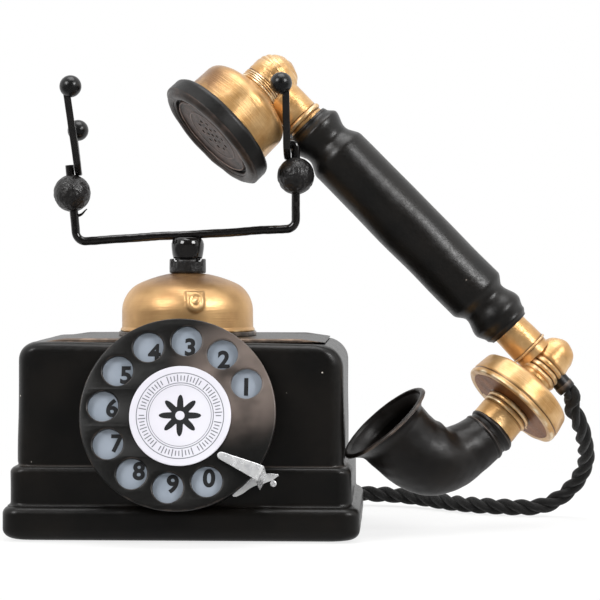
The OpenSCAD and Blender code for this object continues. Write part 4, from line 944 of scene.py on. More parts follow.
def make_housing():
    """A plinth, a step and a hollow case whose walls lean in, closed above round a hole."""
    corner = measure("case", "corner")
    low, top, step = CASE_LOW[2], CASE_HIGH[2], 34.0
    plinth_x, plinth_y, case_y = 78.7, 53.0, 50.2
    case_x = 75.4
    # The plinth grows out of the foot with a fillet
    rows = [(plinth_x + 1.3 - 1.3 * math.sin(t), plinth_y + 1.1 - 1.1 * math.sin(t), corner,
             low + 1.6 - 1.6 * math.cos(t)) for t in np.radians([0, 30, 60, 90])]
    rows += [(plinth_x, plinth_y, corner, z) for z in np.linspace(low + 2.6, step - 4, 10)]
    # Its rounded shoulder, then a soft crease into the case's face
    rows += [(plinth_x - 3 + x, plinth_y - 2 + x * 2 / 3, corner, step - 3 + y)
             for x, y in arc(0, 0, 3, 0, 84, 8)]
    rows += [(case_x + 1.0 - x, case_y + 0.8 - 0.8 * x, corner, step + 1.0 - y)
             for x, y in arc(0, 0, 1.0, 84, 0, 5)]
    centre = [-0.3] * len(rows)
    # The walls lean in a little, the left one more, and the right shoulder is rounder
    left_r, right_r, front_r = 8.2, 11.0, 4.2
    heights = [*np.linspace(step + 2, top - right_r, 24),
               *top - right_r + right_r * np.sin(np.radians(np.linspace(6, 90, 18)))]

    def rounded(wall, r, z):
        """How far out a wall is at a height, with a quarter round at its top."""
        return wall - r + math.sqrt(max(r**2 - max(z - (top - r), 0) ** 2, 0))

    for z in heights:
        high = np.clip((z - step) / (top - step), 0, 1)
        left, right = rounded(76.0 - 0.8 * high, left_r, z), rounded(74.9 - 0.4 * high, right_r, z)
        rows.append(((left + right) / 2, rounded(case_y, front_r, z), corner, z))
        centre.append((right - left) / 2)
    # The top runs in to the plunger's hole and back out below, down to the open bottom
    wall, n = 3, 12
    a0, b0 = rows[-1][:2]
    inner_a, inner_b = 71.5, 47.2
    for f in np.arange(1, n + 1) / n:
        a = a0 + (HOLE - a0) * f
        rows.append((a, b0 + (HOLE - b0) * f, min(corner + (HOLE - corner) * f, a), top))
    outer = len(rows)
    rows += [(HOLE + (inner_a - 8 - HOLE) * f, HOLE + (inner_b - 4 - HOLE) * f,
              HOLE + (4 - HOLE) * f, top - wall) for f in np.arange(n + 1) / n]
    rows += [(inner_a, inner_b, 4, top - 9), (inner_a, inner_b, 4, low)]
    edge_x = centre[-1]
    centre += [0.0] * (len(rows) - len(centre))
    for i in range(outer - n - 1, outer + n + 2):
        share = (rows[i][0] - HOLE) / (a0 - HOLE)
        centre[i] = BELL_X * (1 - share) + edge_x * share * (i < outer)
    made = loft("case_body", rows, True, "housing", 4, centre, True)
    # The dial's works stand in a round well that is bored through the front
    sides, well_r, deep = 64, 27, 36
    ring = polar(well_r, around(sides), [0])
    points = placed(np.vstack([ring - [0, 0, deep], ring]), AT_DIAL) / MM
    walls = [(i, (i + 1) % sides, sides + (i + 1) % sides, sides + i) for i in range(sides)]
    bore = bpy.data.meshes.new("well_cutter")
    bore.from_pydata(points.tolist(), [], walls + [tuple(range(sides - 1, -1, -1)),
                                                   tuple(range(sides, 2 * sides))])
    cutter = linked("well_cutter", bore)
    cut = made.modifiers.new("Well", "BOOLEAN")
    cut.operation, cut.object, cut.solver = "DIFFERENCE", cutter, "EXACT"
    apply_modifiers(made)
    bpy.data.objects.remove(cutter)


def make_top_plate():
    """A thin plate whose ends fall away: no point stands over the line from the end's
    foot."""
    low_corner, high_corner = node_box("top_plate")
    low, thick = low_corner[2], high_corner[2] - low_corner[2]
    a, b = (high_corner - low_corner)[:2] / 2
    slope = 12
    rows = [(0.5, 0.5, 0.5, 0.0), (a - 20, b - 20, 4, 0.0), (a - 1, b - 0.6, 4, 0.0),
            (a, b, 4, 0.35), (a, b - 0.1, 4, 0.55)]
    rows += [(a - 0.3, b - 1.2 + 1.1 * math.cos(t), 4, 0.7 + 1.1 * math.sin(t))
             for t in np.radians(np.linspace(10, 90, 6))]
    rows += [(a - 4, b - 5, 4, thick), (a - 20, b - 20, 4, thick), (0.5, 0.5, 0.5, thick)]
    x, y, z = rectangles(rows, 60, 8)
    z = np.minimum(z, np.maximum((a - np.abs(x)) / slope, 0) * thick + 0.02)
    grid = np.stack([x, y, z + low], -1)
    grid[..., 2] += 0.08 * wave_field(grid, 25, 9) * (z > 0.5)
    add_grid("case_top_plate", grid, np.eye(4), "base", "plate", ["top_plate"], crease=50)


class TELEPHONE_OT_case(bpy.types.Operator):
    """Make the foot, the stepped case and the top plate as soft black castings"""

    bl_idname = "telephone.case"
    bl_label = "Case"

    def execute(self, context):
        make_foot()
        make_housing()
        make_top_plate()
        return {"FINISHED"}


# ---- Dial ----

HOLE_ANGLES = np.radians(24.4 + 30 * np.arange(10))  # of the finger holes and numbers


def cast(name, curve, at, body, look, nodes=()):
    """A piece from a curve or text drawn in millimetres: made a mesh, set in its place,
    welded and dressed."""
    holder = linked(name + "_curve", curve)
    mesh = evaluated(holder)
    bpy.data.objects.remove(holder)
    mesh.transform(Matrix(at.tolist()))
    mesh.transform(Matrix.Scale(1 / MM, 4))
    made = linked(name, mesh)
    weld(made)
    apply_modifiers(made)
    dress(made, body, look, nodes, 30)


def make_wheel():
    """A flat plate with ten round holes: circles filled as one curve and given thickness
    and a rounded edge."""
    thick, edge, z = 3.0, 0.7, -0.1
    curve = bpy.data.curves.new("finger_wheel", "CURVE")
    curve.dimensions, curve.fill_mode = "2D", "BOTH"
    curve.extrude, curve.bevel_depth = thick / 2 - edge, edge
    curve.bevel_resolution, curve.offset = 3, -edge
    rings = [(0, 0, 44.6, 96)]
    rings += [(34.1 * math.cos(a), 34.1 * math.sin(a), 7.0, 48) for a in HOLE_ANGLES]
    for x, y, r, count in rings:
        angle = around(count)
        spline = curve.splines.new("POLY")
        spline.points.add(count - 1)
        spline.points.foreach_set("co", np.stack(
            [x + r * np.cos(angle), y + r * np.sin(angle), 0 * angle, 1 + 0 * angle], 1).ravel())
        spline.use_cyclic_u = True
    cast("finger_wheel_disc", curve, AT_DIAL @ shift(0, 0, z - thick / 2), "dial", "wheel",
         ["finger_wheel"])


def make_numbers():
    """Printed numbers on the plate, from 1 round to 0, a little off the holes' centres."""
    ring = measure("dial", "number_ring")
    for k, a in enumerate(HOLE_ANGLES):
        name = f"number_{(k + 1) % 10}"
        text = bpy.data.curves.new(name, "FONT")
        text.body = name[-1]
        text.align_x, text.align_y = "CENTER", "CENTER"
        text.size = measure("dial", "number_height") * 1.4
        text.extrude, text.offset, text.resolution_u = 0.05, 0.4, 6
        at = AT_DIAL @ shift(ring * math.cos(a) + 1.7, ring * math.sin(a) - 0.4, -3.6 + 0.07)
        cast(name, text, at, "base", "ink")


def make_card():
    """A round card with three printed rings, ticks between them and a plain rosette of
    eight petals, whose radius is a cosine of eight times the angle."""
    at = AT_DIAL @ shift(1.4, -1.2, 0)
    r, top = 23.1, 0.9
    profile = fine([(0.01, 0.02), (r - 0.2, 0.02)], 3) + arc(r - 0.4, top - 0.4, 0.4, -60, 90, 6)
    profile += fine([(r - 0.5, top), (0.01, top)], 3)
    lathe("centre_card", profile, at, "dial", "card", ["dial_card"], sides=128, crease=50)
    for name, inner, outer in (("outer", 19.6, 20.0), ("middle", 14.95, 15.3),
                               ("inner", 14.05, 14.3)):
        profile = [(inner, top), (outer, top), (outer, top + 0.04), (inner, top + 0.04)]
        lathe("card_ring_" + name, profile, at, "dial", "grey_ink", loop=True, sides=128,
              crease=30)
    # Short ticks in groups of eleven, the middle one of each three longer
    count = int(settings("dial").tick_count)
    order = np.arange(count)[(np.arange(count) % 12) < 11]
    angle = around(count)[order]
    long = np.where(order % 3 == 1, 1.7, 1.2)
    spokes = np.array([[-1, -0.24], [1, -0.24], [1, 0.24], [-1, 0.24]])
    x = 17.4 + spokes[None, :, 0] * long[:, None]
    y = spokes[None, :, 1] + 0 * x
    c, s = np.cos(angle)[:, None], np.sin(angle)[:, None]
    flat = np.stack([x * c - y * s, x * s + y * c, 0 * x + top + 0.03], -1)
    points = np.stack([flat - [0, 0, 0.03], flat], 1).reshape(-1, 3)
    start = (np.arange(len(angle)) * 8)[:, None]
    faces = [start + np.array(f) for f in ([4, 5, 6, 7], [3, 2, 1, 0], [0, 1, 5, 4],
                                           [1, 2, 6, 5], [2, 3, 7, 6], [3, 0, 4, 7])]
    add_piece("card_ticks", placed(points, at), faces, "dial", "grey_ink", crease=20)
    spin = np.linspace(0, 2 * math.pi, 161)[:-1]
    petals = 6.9 + 2.7 * np.cos(8 * spin)
    rows = [polar(reach, spin, [h]) for reach, h in (
        (2.1, top), (petals, top), (petals, top + 0.05), (2.1, top + 0.05))]
    add_grid("card_rosette", np.stack(rows), at, "dial", "ink", loop=True, crease=30)


def make_backing():
    """The dial's case, rounded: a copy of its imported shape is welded, rebuilt from voxels
    of 0.7 mm and relaxed."""
    made = linked("dial_backing", frame["nodes"]["dial_case"].data.copy())
    weld(made)
    remesh = made.modifiers.new("Remesh", "REMESH")
    remesh.mode, remesh.voxel_size = "VOXEL", 0.0007
    relax = made.modifiers.new("Relax", "SMOOTH")
    relax.factor, relax.iterations = 0.6, 6
    apply_modifiers(made)
    dress(made, "base", "case", ["dial_case"])


def make_stop():
    """A tapered blade, round at its tip, that folds over the wheel's edge and runs back
    to a foot on the plinth: a soft bar whose width grows along it, on a bent line."""
    at = AT_DIAL @ turn("Z", -36) @ shift(46.2, 0, 0) @ turn("Z", 12)
    thick, tip, root, reach, fold = 1.2, 1.7, 3.6, 20.3, 1.3
    level, leg = 0.65 + thick / 2, thick / 2
    line = [(x - reach, 0, level) for x in (0.05, 0.5, 1.2, 2.4)]
    line += [(x, 0, level) for x in np.linspace(4 - reach, leg - fold - 0.4, 9)]
    line += [(leg - fold + fold * math.sin(t), 0, level - fold + fold * math.cos(t))
             for t in np.radians([15, 40, 65, 90])]
    line += [(leg, 0, z) for z in np.linspace(level - 2.5, -21.2, 9)]
    run = run_of(line)
    half = tip + (root - tip) * np.clip((run - tip) / (reach - tip), 0, 1)
    half = np.where(run < tip, np.sqrt(np.maximum(tip**2 - (tip - run) ** 2, 0.2)), half)
    carried("finger_stop_blade", line, soft_bars(2 * half, thick, 0.4), "base", "nickel",
            ["finger_stop"], up=(0, 0, 1), at=at, wobble=0.05, size=7, crease=45)
    # The foot is a strap across the plinth's face, widest where the leg meets it
    strap = smooth_path([(24.4, -54.0, 21.4), (27, -54.0, 23.1), (30.5, -54.1, 25.6),
                         (34, -54.2, 27.9), (38, -54.2, 29.3), (42, -54.2, 30.2),
                         (45.2, -54.0, 31.1)], 0.8)
    wide = np.interp(strap[:, 0], [24.4, 25.5, 28, 31, 34, 38, 42, 45.2],
                     [0.5, 1.3, 1.7, 1.6, 2.0, 2.3, 1.7, 0.4])
    carried("finger_stop_foot", strap, soft_bars(2 * wide, 0.9, 0.3), "base", "nickel",
            wobble=0.04, size=5, seed=2, crease=45)
    middle = sum(node_box("stop_screw")) / 2
    dome = [(AXIS, 0), (1.5, 0), (1.5, 0.3)] + arc(0.3, 0.3, 1.2, 0, 80, 5) + [(AXIS, 1.5)]
    lathe("stop_screw_dome", np.array(dome) * [1, 0.6],
          shift(middle[0], -54.3, middle[2]) @ turn("X", 90), "base", "nickel",
          ["stop_screw"], sides=32)


class TELEPHONE_OT_dial(bpy.types.Operator):
    """Make the finger wheel, numbers, card, dial case and finger stop"""

    bl_idname = "telephone.dial"
    bl_label = "Dial"

    def execute(self, context):
        make_wheel()
        make_numbers()
        make_card()
        make_backing()
        make_stop()
        return {"FINISHED"}


# ---- Bell ----


def make_gong():
    """A dome of two arcs over a short upright wall, open below, with a boss on its front."""
    r, shoulder, crown, wall, thick = 31.3, 14.5, 52.3, 9.65, 2
    land = 7.1
    cx = r - shoulder
    cz = wall - math.sqrt((crown - shoulder) ** 2 - cx**2)
    end = math.degrees(math.asin((wall - cz) / (crown - shoulder)))
    land_z = cz + math.sqrt(crown**2 - land**2)
    inner = crown - thick
    profile = [(r - 2, 0.05), (r - 1, 0), (r + 0.4, 0.05), (r + 0.75, 0.4), (r + 0.7, 1.0),
               (r + 0.3, 1.5), (r, 2.1)]
    profile += fine([(r, 2.4), (r, wall)], 0.7) + arc(cx, wall, shoulder, 2, end, 34)
    profile += arc(0, cz, crown, end + 1, math.degrees(math.acos(land / crown)), 16)
    profile += [(6, land_z), (HOLE, land_z), (HOLE, land_z - 3.2), (9, land_z - 3.4)]
    profile += arc(0, cz, inner, math.degrees(math.acos(9.5 / inner)), end, 8)
    profile += arc(cx, wall, shoulder - thick, end - 2, 0, 14) + [(r - 2, 3), (r - 2, 1)]
    outside = (np.arange(len(profile)) < 60)[:, None]
    half_wide, half_high = 4.4, 5.3

    def boss(angle, radius, level):
        """The boss: a rounded plate, flat above and round below, with lumps on it."""
        side = (angle - math.radians(282) + math.pi) % (2 * math.pi) - math.pi
        over = np.maximum(level - wall, 0)
        up = np.where(level > wall, shoulder * np.arcsin(np.clip(over / shoulder, 0, 1)),
                      level - wall) - shoulder * math.radians(20)
        across, up = side * radius / half_wide, up / half_high
        below = np.hypot(across, np.minimum(up + 0.17, 0) / 0.83)
        edge = np.maximum(np.maximum(np.abs(across), below), np.maximum(up, 0))
        rho = np.hypot(across, up)
        lumps = (0.7 * np.exp(-(((rho - 0.66) / 0.17) ** 2)) * (0.6 + 0.4 * np.sin(side * 9))
                 + 0.75 * np.exp(-((across - 0.12) ** 2 / 0.03 + (up - 0.12) ** 2 / 0.12))
                 - 0.35 * np.exp(-((rho - 0.38) / 0.1) ** 2))
        plate = soft_step((1.06 - edge) / 0.22)
        return np.where(outside, plate * (0.62 + lumps * 0.6) * measure("bell", "boss_height"),
                        0)

    lathe("gong_dome", profile, AT_BELL @ shift(0, 0, node_box("gong")[0][2]), "base", "gong",
          ["gong"], loop=True, sides=320, wobble=measure("bell", "dents"), size=16, seed=5,
          carve=boss, crease=50)


def make_seat():
    """A flat ring with a rounded outer edge, under the gong's rim."""
    low, high = node_box("bell_seat")
    thick, inner = high[2] - low[2], 27.4
    profile = [(inner, 0), (32.6, 0), (32.9, 0.3)] + arc(32.3, thick - 0.6, 0.6, 0, 90, 5)
    lathe("bell_seat_ring", profile + [(inner, thick)], AT_BELL @ shift(0, 0, low[2]), "base",
          "case", ["bell_seat"], loop=True, sides=128, wobble=0.05, size=9)


def make_crown():
    """A castle nut: a ring with a thin inner wall. Its rim dips and its outside steps in
    at four slots, both by a softened square wave of the angle."""
    r, h, base, mouth = 8.7, 7.1, 2.6, 7.95
    profile = [(HOLE, 0.02), (r - 0.4, 0.02), (r, 0.4)] + fine([(r, 1.2), (r, base)], 0.5)
    profile += fine([(r, base + 0.2), (r, h - 0.9)], 0.5)
    profile += arc(r - 0.55, h - 0.75, 0.5, 0, 90, 5) + [(mouth + 0.1, h - 0.35)]
    profile += fine([(mouth, h - 0.8), (mouth - 0.6, base + 0.3)], 0.5)
    outside = len(profile)
    profile += [(mouth - 0.7, base)] + fine([(mouth - 1.2, base), (HOLE, base)], 0.8)
    outer = (np.arange(len(profile)) < outside)[:, None, None]
    angle = around(288)
    radius, height = np.array(profile).T[..., None] + 0 * angle
    # 1 on a lobe and 0 in a slot, with slots at the diagonals
    slot = 1 - soft_step((np.abs(np.sin(2 * angle + math.pi / 2)) - 0.33) / 0.2)
    front = np.exp(-(((angle - 1.5 * math.pi) / 0.5) ** 2))
    rise = np.maximum(height - base, 0)
    flat = radius
    radius = radius + 0.25 * front * (flat > mouth + 0.05)
    radius = radius - 0.5 * slot * np.clip(rise / 0.5, 0, 1) * (flat > mouth + 0.55)
    height = height - 1.3 * slot * np.clip(rise / 4.4, 0, 1)
    height = height - 0.5 * front * np.clip(rise / 3, 0, 1)
    grid = polar(radius, angle, [height])
    grid[..., :2] *= 1 + 0.008 * wave_field(grid, 6, 12)[..., None] * outer
    add_grid("crown_nut_cast", grid, AT_BELL @ shift(0, 0, GONG_TOP), "base", "bead",
             ["crown_nut"], loop=True, crease=60)


def make_knob():
    """A barrel with a rounded top and a skirt below that hides the plunger."""
    low, h, r = KNOB_LOW[2], KNOB_HIGH[2] - KNOB_LOW[2], 7.8
    skirt = GONG_TOP + 6.0 - low
    profile = [(AXIS, 0.02), (4.6, 0.02), (4.6, skirt), (6.1, skirt), (6.1, 0.02),
               (6.3, 0.02)]
    profile += arc(r - 18, 6.2, 18, -19.6, 4, 12) + arc(r - 3, h - 2.8, 2.8, 5, 90, 8)
    lathe("plunger_knob_turned", profile + [(2, h), (AXIS, h)], AT_BELL @ shift(0, 0, low),
          "cradle", "wire", ["plunger_knob"], wobble=0.12, size=7, seed=14, crease=60)


class TELEPHONE_OT_bell(bpy.types.Operator):
    """Make the gong with its boss, the crown nut and the plunger's knob"""

    bl_idname = "telephone.bell"
    bl_label = "Bell"

    def execute(self, context):
        make_gong()
        make_seat()
        make_crown()
        make_knob()
        return {"FINISHED"}


# ---- Cradle ----

# Corners of the wire and places of beads and forks, across and up from the plunger
SLOPE, LEAN, BEAD, TIP, BEND = 3.35, 5.4, 8.4, 5.2, 4.5  # degrees, degrees, then radii


def tangent_of(degrees):
    """The tangent of an angle in degrees."""
    return math.tan(math.radians(degrees))


LEFT_CORNER = np.array([-53.4, -53.4 * tangent_of(SLOPE)])
RIGHT_CORNER = np.array([51.8, 51.8 * tangent_of(SLOPE)])
LEFT_SIDE = np.array([math.cos(math.radians(LEAN)), math.sin(math.radians(LEAN))])
LEFT_WAY = np.array([-math.sin(math.radians(LEAN)), math.cos(math.radians(LEAN))])
LEFT_BEAD = LEFT_CORNER + 23.2 * LEFT_WAY
RIGHT_BEAD = RIGHT_CORNER + [0, 25.1]
LEFT_VERTEX = (LEFT_BEAD + (BEAD + 1.7 + 0.15) * LEFT_WAY
               + (1.9 + 1.7 + 0.35) * LEFT_SIDE)
RIGHT_VERTEX = RIGHT_BEAD + [-2.3 - 1.7, math.sqrt(BEAD**2 - 2.3**2) + 1.85]


def make_wire():
    """A round bar along a bent line, with a slow waviness, that hooks over at its right
    end, and a burr of enamel under the left bead, as dipped wire has."""
    left_in = LEFT_CORNER + BEND * tangent_of((90 - LEAN + SLOPE) / 2) * LEFT_WAY
    right_out = RIGHT_CORNER + [0, BEND * tangent_of((90 - SLOPE) / 2)]
    hook = (RIGHT_BEAD[0] - RIGHT_VERTEX[0]) / 2
    end = RIGHT_VERTEX[1] + 1.7 + 1.9 * tangent_of(18) + 0.8
    flat = [LEFT_BEAD + 13.5 * LEFT_WAY, LEFT_BEAD + 8 * LEFT_WAY, LEFT_BEAD]
    flat += arc(*left_in + BEND * LEFT_SIDE, BEND, 180 + LEAN, 270 + SLOPE, 10)
    flat += [LEFT_CORNER * 0.5, (0, 0), RIGHT_CORNER * 0.5]
    flat += arc(*right_out - [BEND, 0], BEND, 270 + SLOPE, 360, 10)
    flat += [RIGHT_BEAD, (RIGHT_BEAD[0], end - 0.2)]
    flat += arc(RIGHT_BEAD[0] - hook, end + 0.6, hook, 0, 180, 12) + [(RIGHT_VERTEX[0], end)]
    path = np.array([(x, 0, z) for x, z in flat])
    along = run_of(path)
    even = np.linspace(0, along[-1], int(along[-1] / 0.8))
    path = np.stack([np.interp(even, along, path[:, i]) for i in range(3)], 1)
    wave = 0.12 * np.sin(even / 9) + 0.08 * np.sin(even / 3.7)
    fade = np.clip(even / 20, 0, 1) * np.clip((even[-1] - even) / 40, 0, 1)
    path[5:-24, 2] += (wave * fade)[5:-24]
    section = polar(measure("cradle", "wire_radius"), around(20))
    carried("cradle_wire_bent", path, section, "cradle", "wire", ["cradle_wire"],
            at=AT_CRADLE, wobble=0.06, size=4, crease=60)
    x, z = LEFT_BEAD - 8.8 * LEFT_WAY
    spur = smooth_path([(x + 1.0, 0, z - 2.2), (x + 3.6, 0, z - 1.4), (x + 5.6, 0, z + 0.6),
                        (x + 6.4, 0, z + 1.2)], 0.3)
    taper = np.linspace(1.0, 0.25, len(spur))[:, None, None]
    carried("cradle_wire_spur", spur, polar(0.9, around(12)) * taper, "cradle", "wire",
            at=AT_CRADLE, crease=60)


def make_beads():
    """Round beads whose surface is pushed in by overlapping hammer marks: at each point,
    the depth is that of the nearest of 150 marks spread over the ball."""
    depth, r, count = measure("cradle", "hammer_depth"), 8.95, 150
    for side, place, seed in (("left", LEFT_BEAD, 31), ("right", RIGHT_BEAD, 32)):
        marks = np.random.default_rng(seed).normal(size=(count, 3))
        marks /= np.linalg.norm(marks, axis=1)[:, None]
        lat = np.linspace(0.02, math.pi - 0.02, 90)[:, None]
        lon = around(160)[None, :]
        unit = np.stack([np.sin(lat) * np.cos(lon), np.sin(lat) * np.sin(lon),
                         np.cos(lat) + 0 * lon], -1)
        near = np.sort(np.arccos(np.clip(unit @ marks.T, -1, 1)), -1)
        ridge = np.clip((near[..., 1] - near[..., 0]) / 0.12, 0, 1)
        ball = r - depth * ridge + 0.5 * depth * wave_field(unit * BEAD, 3, seed)
        add_grid(f"bead_{side}_hammered", unit * np.minimum(ball, r)[..., None],
                 AT_CRADLE @ shift(place[0], 0, place[1]), "cradle", "bead",
                 [f"bead_{side}"], crease=0)


def make_forks():
    """Flat bars bent round a vertex with two straight arms, and a ball on each arm."""
    half, bend, turn_in = math.radians(38), 9.0, 52
    way = np.array([math.sin(half), math.cos(half)])
    curve = np.array(arc(0, bend, bend, turn_in - 90, -turn_in - 90, 24))
    for side, vertex, swing, lean, arm, inset in (
        ("left", LEFT_VERTEX, 7, 7.9, 33, 2.2),
        ("right", RIGHT_VERTEX, 0, 0, 26.4, -2.2),
    ):
        at = (AT_CRADLE @ shift(vertex[0], 0, vertex[1]) @ turn("Z", swing)
              @ turn("Y", -lean) @ turn("X", -18))
        first = curve[0] + np.linspace(arm, 1, 30)[:, None] * way
        last = curve[-1] + np.linspace(1, arm, 30)[:, None] * way * [-1, 1]
        path = np.insert(np.vstack([first, curve, last]), 0, 0, axis=1)
        carried(f"fork_{side}_bar", path, soft_bars([3.7], 3.4, 0.7)[0], "cradle", "wire",
                [f"fork_{side}"], up=(1, 0, 0), at=at, wobble=0.05, size=6, crease=45)
        reach = arm + TIP * 0.6
        out = bend * math.cos(half) + reach * math.sin(half)
        up = bend * (1 - math.sin(half)) + reach * math.cos(half)
        for s, label in ((-1, "front"), (1, "back")):
            lathe(f"tip_{side}_{label}", arc(0, 0, TIP, -89.9, 89.9, 40),
                  at @ shift(inset, s * out, up), "cradle", "tip",
                  [f"tips_{side}"] if s < 0 else (), sides=64, wobble=0.04, size=6, crease=0)


class TELEPHONE_OT_cradle(bpy.types.Operator):
    """Make the bent wire, the hammered beads, both forks and their tips"""

    bl_idname = "telephone.cradle"
    bl_label = "Cradle"

    def execute(self, context):
        make_wire()
        make_beads()
        make_forks()
        return {"FINISHED"}


# ---- Handset ----


def handset_piece(name, profile, node, at=AT_EAR, look="gilt", **rest):
    """A turned piece of the handset."""
    return lathe(name, profile, at, "handset", look, [node] if node else (), **rest)


def make_grip():
    """Turned barrel between two beads: stations joined by cosine curves that are level at
    every station."""
    l0, l1, r, n = 27.7, GRIP_END, 15.1, 10
    stations = np.array([
        (l0, r - 4.3), (l0 + 1.2, r - 3.8), (l0 + 5.7, r - 0.9), (l0 + 13.8, r - 3.1),
        (l0 + 22, r), (l0 + 60, r + 0.05), (l1 - 23.2, r - 0.1), (l1 - 17, r - 3.3),
        (l1 - 8.5, r - 1.1), (l1 - 2.7, r - 3.1), (l1, r - 4.6)])
    a, b = stations[:-1], stations[1:]
    f = np.arange(n) / n
    x = a[:, :1] + (b[:, :1] - a[:, :1]) * f
    out = a[:, 1:] + (b[:, 1:] - a[:, 1:]) * (1 - np.cos(math.pi * f)) / 2
    profile = [(3.2, l0 + 0.02)] + fine([(4, l0 + 0.02), (r - 5, l0 + 0.02)], 2)
    profile += [*zip(out.ravel(), x.ravel()), (r - 4.6, l1)]
    profile += fine([(r - 5, l1 - 0.02), (4, l1 - 0.02)], 2) + [(3.2, l1 - 0.02)]
    handset_piece("grip_barrel", profile, "grip", ALONG_HANDSET, "grip", sides=128,
                  wobble=measure("handset", "unevenness"), size=26, seed=21, crease=50)


def make_receiver():
    """The ear end's gilt pieces: a neck with a bead, a domed knob with ribs, and a can."""
    r = 9.3
    profile = [(3.2, 9)] + fine([(r, 9), (r, 22.9)], 1) + arc(r - 0.4, 24.7, 1.4, -80, 80, 8)
    profile += [(r, 26.6), (r, 27.65), (3.2, 27.65)]
    handset_piece("ear_neck_gilt", profile, "ear_neck", ALONG_HANDSET, wobble=0.12, size=9,
                  seed=22)
    top, seat = 11.6, 7.1
    profile = arc(0, -3.4, top, -89.8, -4, 40) + fine([(top, -2.6), (top - 0.2, 2.0)], 0.4)
    profile += ribs_along(top, 3.15, 1.13, 4, 0.56, 6, 70) + [(top - 0.56, seat), (AXIS, seat)]

    def brushed(angle, radius, level):
        """Slanting ridges of thick paint, as high as a slow wave lets them be."""
        wave = np.sin(2.6 * level + 2.2 * angle + 1.3 * np.sin(3 * angle))
        return 0.2 * wave * (0.6 + 0.4 * np.sin(2 * angle + 0.5 * level)) * (
            radius > 2) * (level < 2.4)

    handset_piece("ear_knob_gilt", profile, "ear_knob", wobble=0.2, size=8, seed=23, sides=160,
                  carve=brushed)
    can, depth, shoulder = 24.7, 32, 7.5
    profile = [(AXIS, seat), (10.5, seat)] + arc(can - shoulder, seat + 11, shoulder, -65, 0, 12)
    profile += fine([(can, seat + 11.6), (can, depth)], 1.5) + [(23.3, depth)]
    profile += fine([(23.2, 31), (23.2, 16.6)], 2) + [(18.7, 13.3), (AXIS, 10.1)]
    handset_piece("receiver_can_gilt", profile, "receiver_can", sides=160, wobble=0.2, size=14,
                  seed=24)


def make_ear_cap():
    """A flat-sided cap: its side meets its face in a sharp edge, and the face, which rests
    on an ear, has gone brown with wear."""
    r, back, face, inside, sides = 30.4, 30.2, 39.5, 23.4, 192
    profile = [(24.76, back + 0.3), (25.4, back)]
    profile += arc(r - 2.6, back + 2.6, 2.6, -88, 0, 8)
    profile += fine([(r, back + 3.2), (r + 0.1, face - 1.9)], 0.8)
    profile += arc(r - 0.5, face - 1.5, 0.6, 0, 75, 4)
    first = (len(profile) - 2) * sides
    profile += [tuple(q) for q in smooth_path([
        (r - 1.0, face - 0.75), (28.6, face + 0.2), (27, face + 0.8), (25.6, face + 0.8),
        (inside + 1.2, face + 0.2)], 0.5)]
    profile += arc(inside + 1.0, face - 0.9, 0.9, 70, 170, 7)
    last = len(profile) * sides
    profile += [(inside, face - 2.2), (inside - 2.4, face - 2.2), (inside - 2.4, 32.4),
                (24.76, 32.4)]
    made = handset_piece("ear_cap_moulded", profile, "ear_cap", look="ear_cap", loop=True,
                         sides=sides, wobble=0.14, size=12, seed=25, crease=50)

    def wear(values):
        """The face counts as an edge all over, so that it shows its rubbed colour."""
        values[first:last] = 0.6

    change_edges(made, wear)


def make_ear_plate():
    """A pressed plate: its height is a function of the radius, with a raised bead near
    its edge and a shallow dish, and it is pierced by two rings of small holes round one."""
    face, edge, rows = 39.3 - 1.0, 23.1, 160
    r = np.linspace(AXIS, edge, rows)
    height = (0.75 * np.exp(-((r - 21.4) / 0.45) ** 2) - 1.5 * np.clip(r - 22.0, 0, 1)
              - 0.3 * np.clip((20.8 - r) / 1.2, 0, 1) - 0.25 * np.clip((14 - r) / 9, 0, 1)
              + 0.25 * np.exp(-((r - 14.6) / 0.6) ** 2))
    profile = [*zip(r, face + height), (edge, face - 2.0), (10, face - 2.4), (AXIS, face - 2.6)]
    front = (np.arange(len(profile)) < rows)[:, None]
    places = [(0, 0)] + [(far * math.cos(2 * math.pi * (k + step) / count),
                          far * math.sin(2 * math.pi * (k + step) / count))
                         for far, count, step in ((4.4, 6, 0), (8.6, 10, 0.5))
                         for k in range(count)]
    deep = []

    def pierced(angle, radius, level):
        """How deep the holes go: 1 within each and 0 outside, with a slope between."""
        x, y = radius * np.cos(angle), radius * np.sin(angle)
        near = np.min([np.hypot(x - a, y - b) for a, b in places], axis=0)
        deep.append(np.where(front, np.clip((1.1 - near) / 0.3, 0, 1), 0))
        return 0.5 * deep[-1]

    def darken(values):
        """The holes get painted shade: their edge values drop, so that they take the hollow
        colour.
        """
        values[: deep[0].size] -= 2 * deep[0].ravel()

    change_edges(handset_piece(
        "ear_plate_pressed", profile, "ear_plate", look="ear_plate", sides=256, wobble=0.12,
        size=7, seed=26, carve=pierced, crease=60), darken)


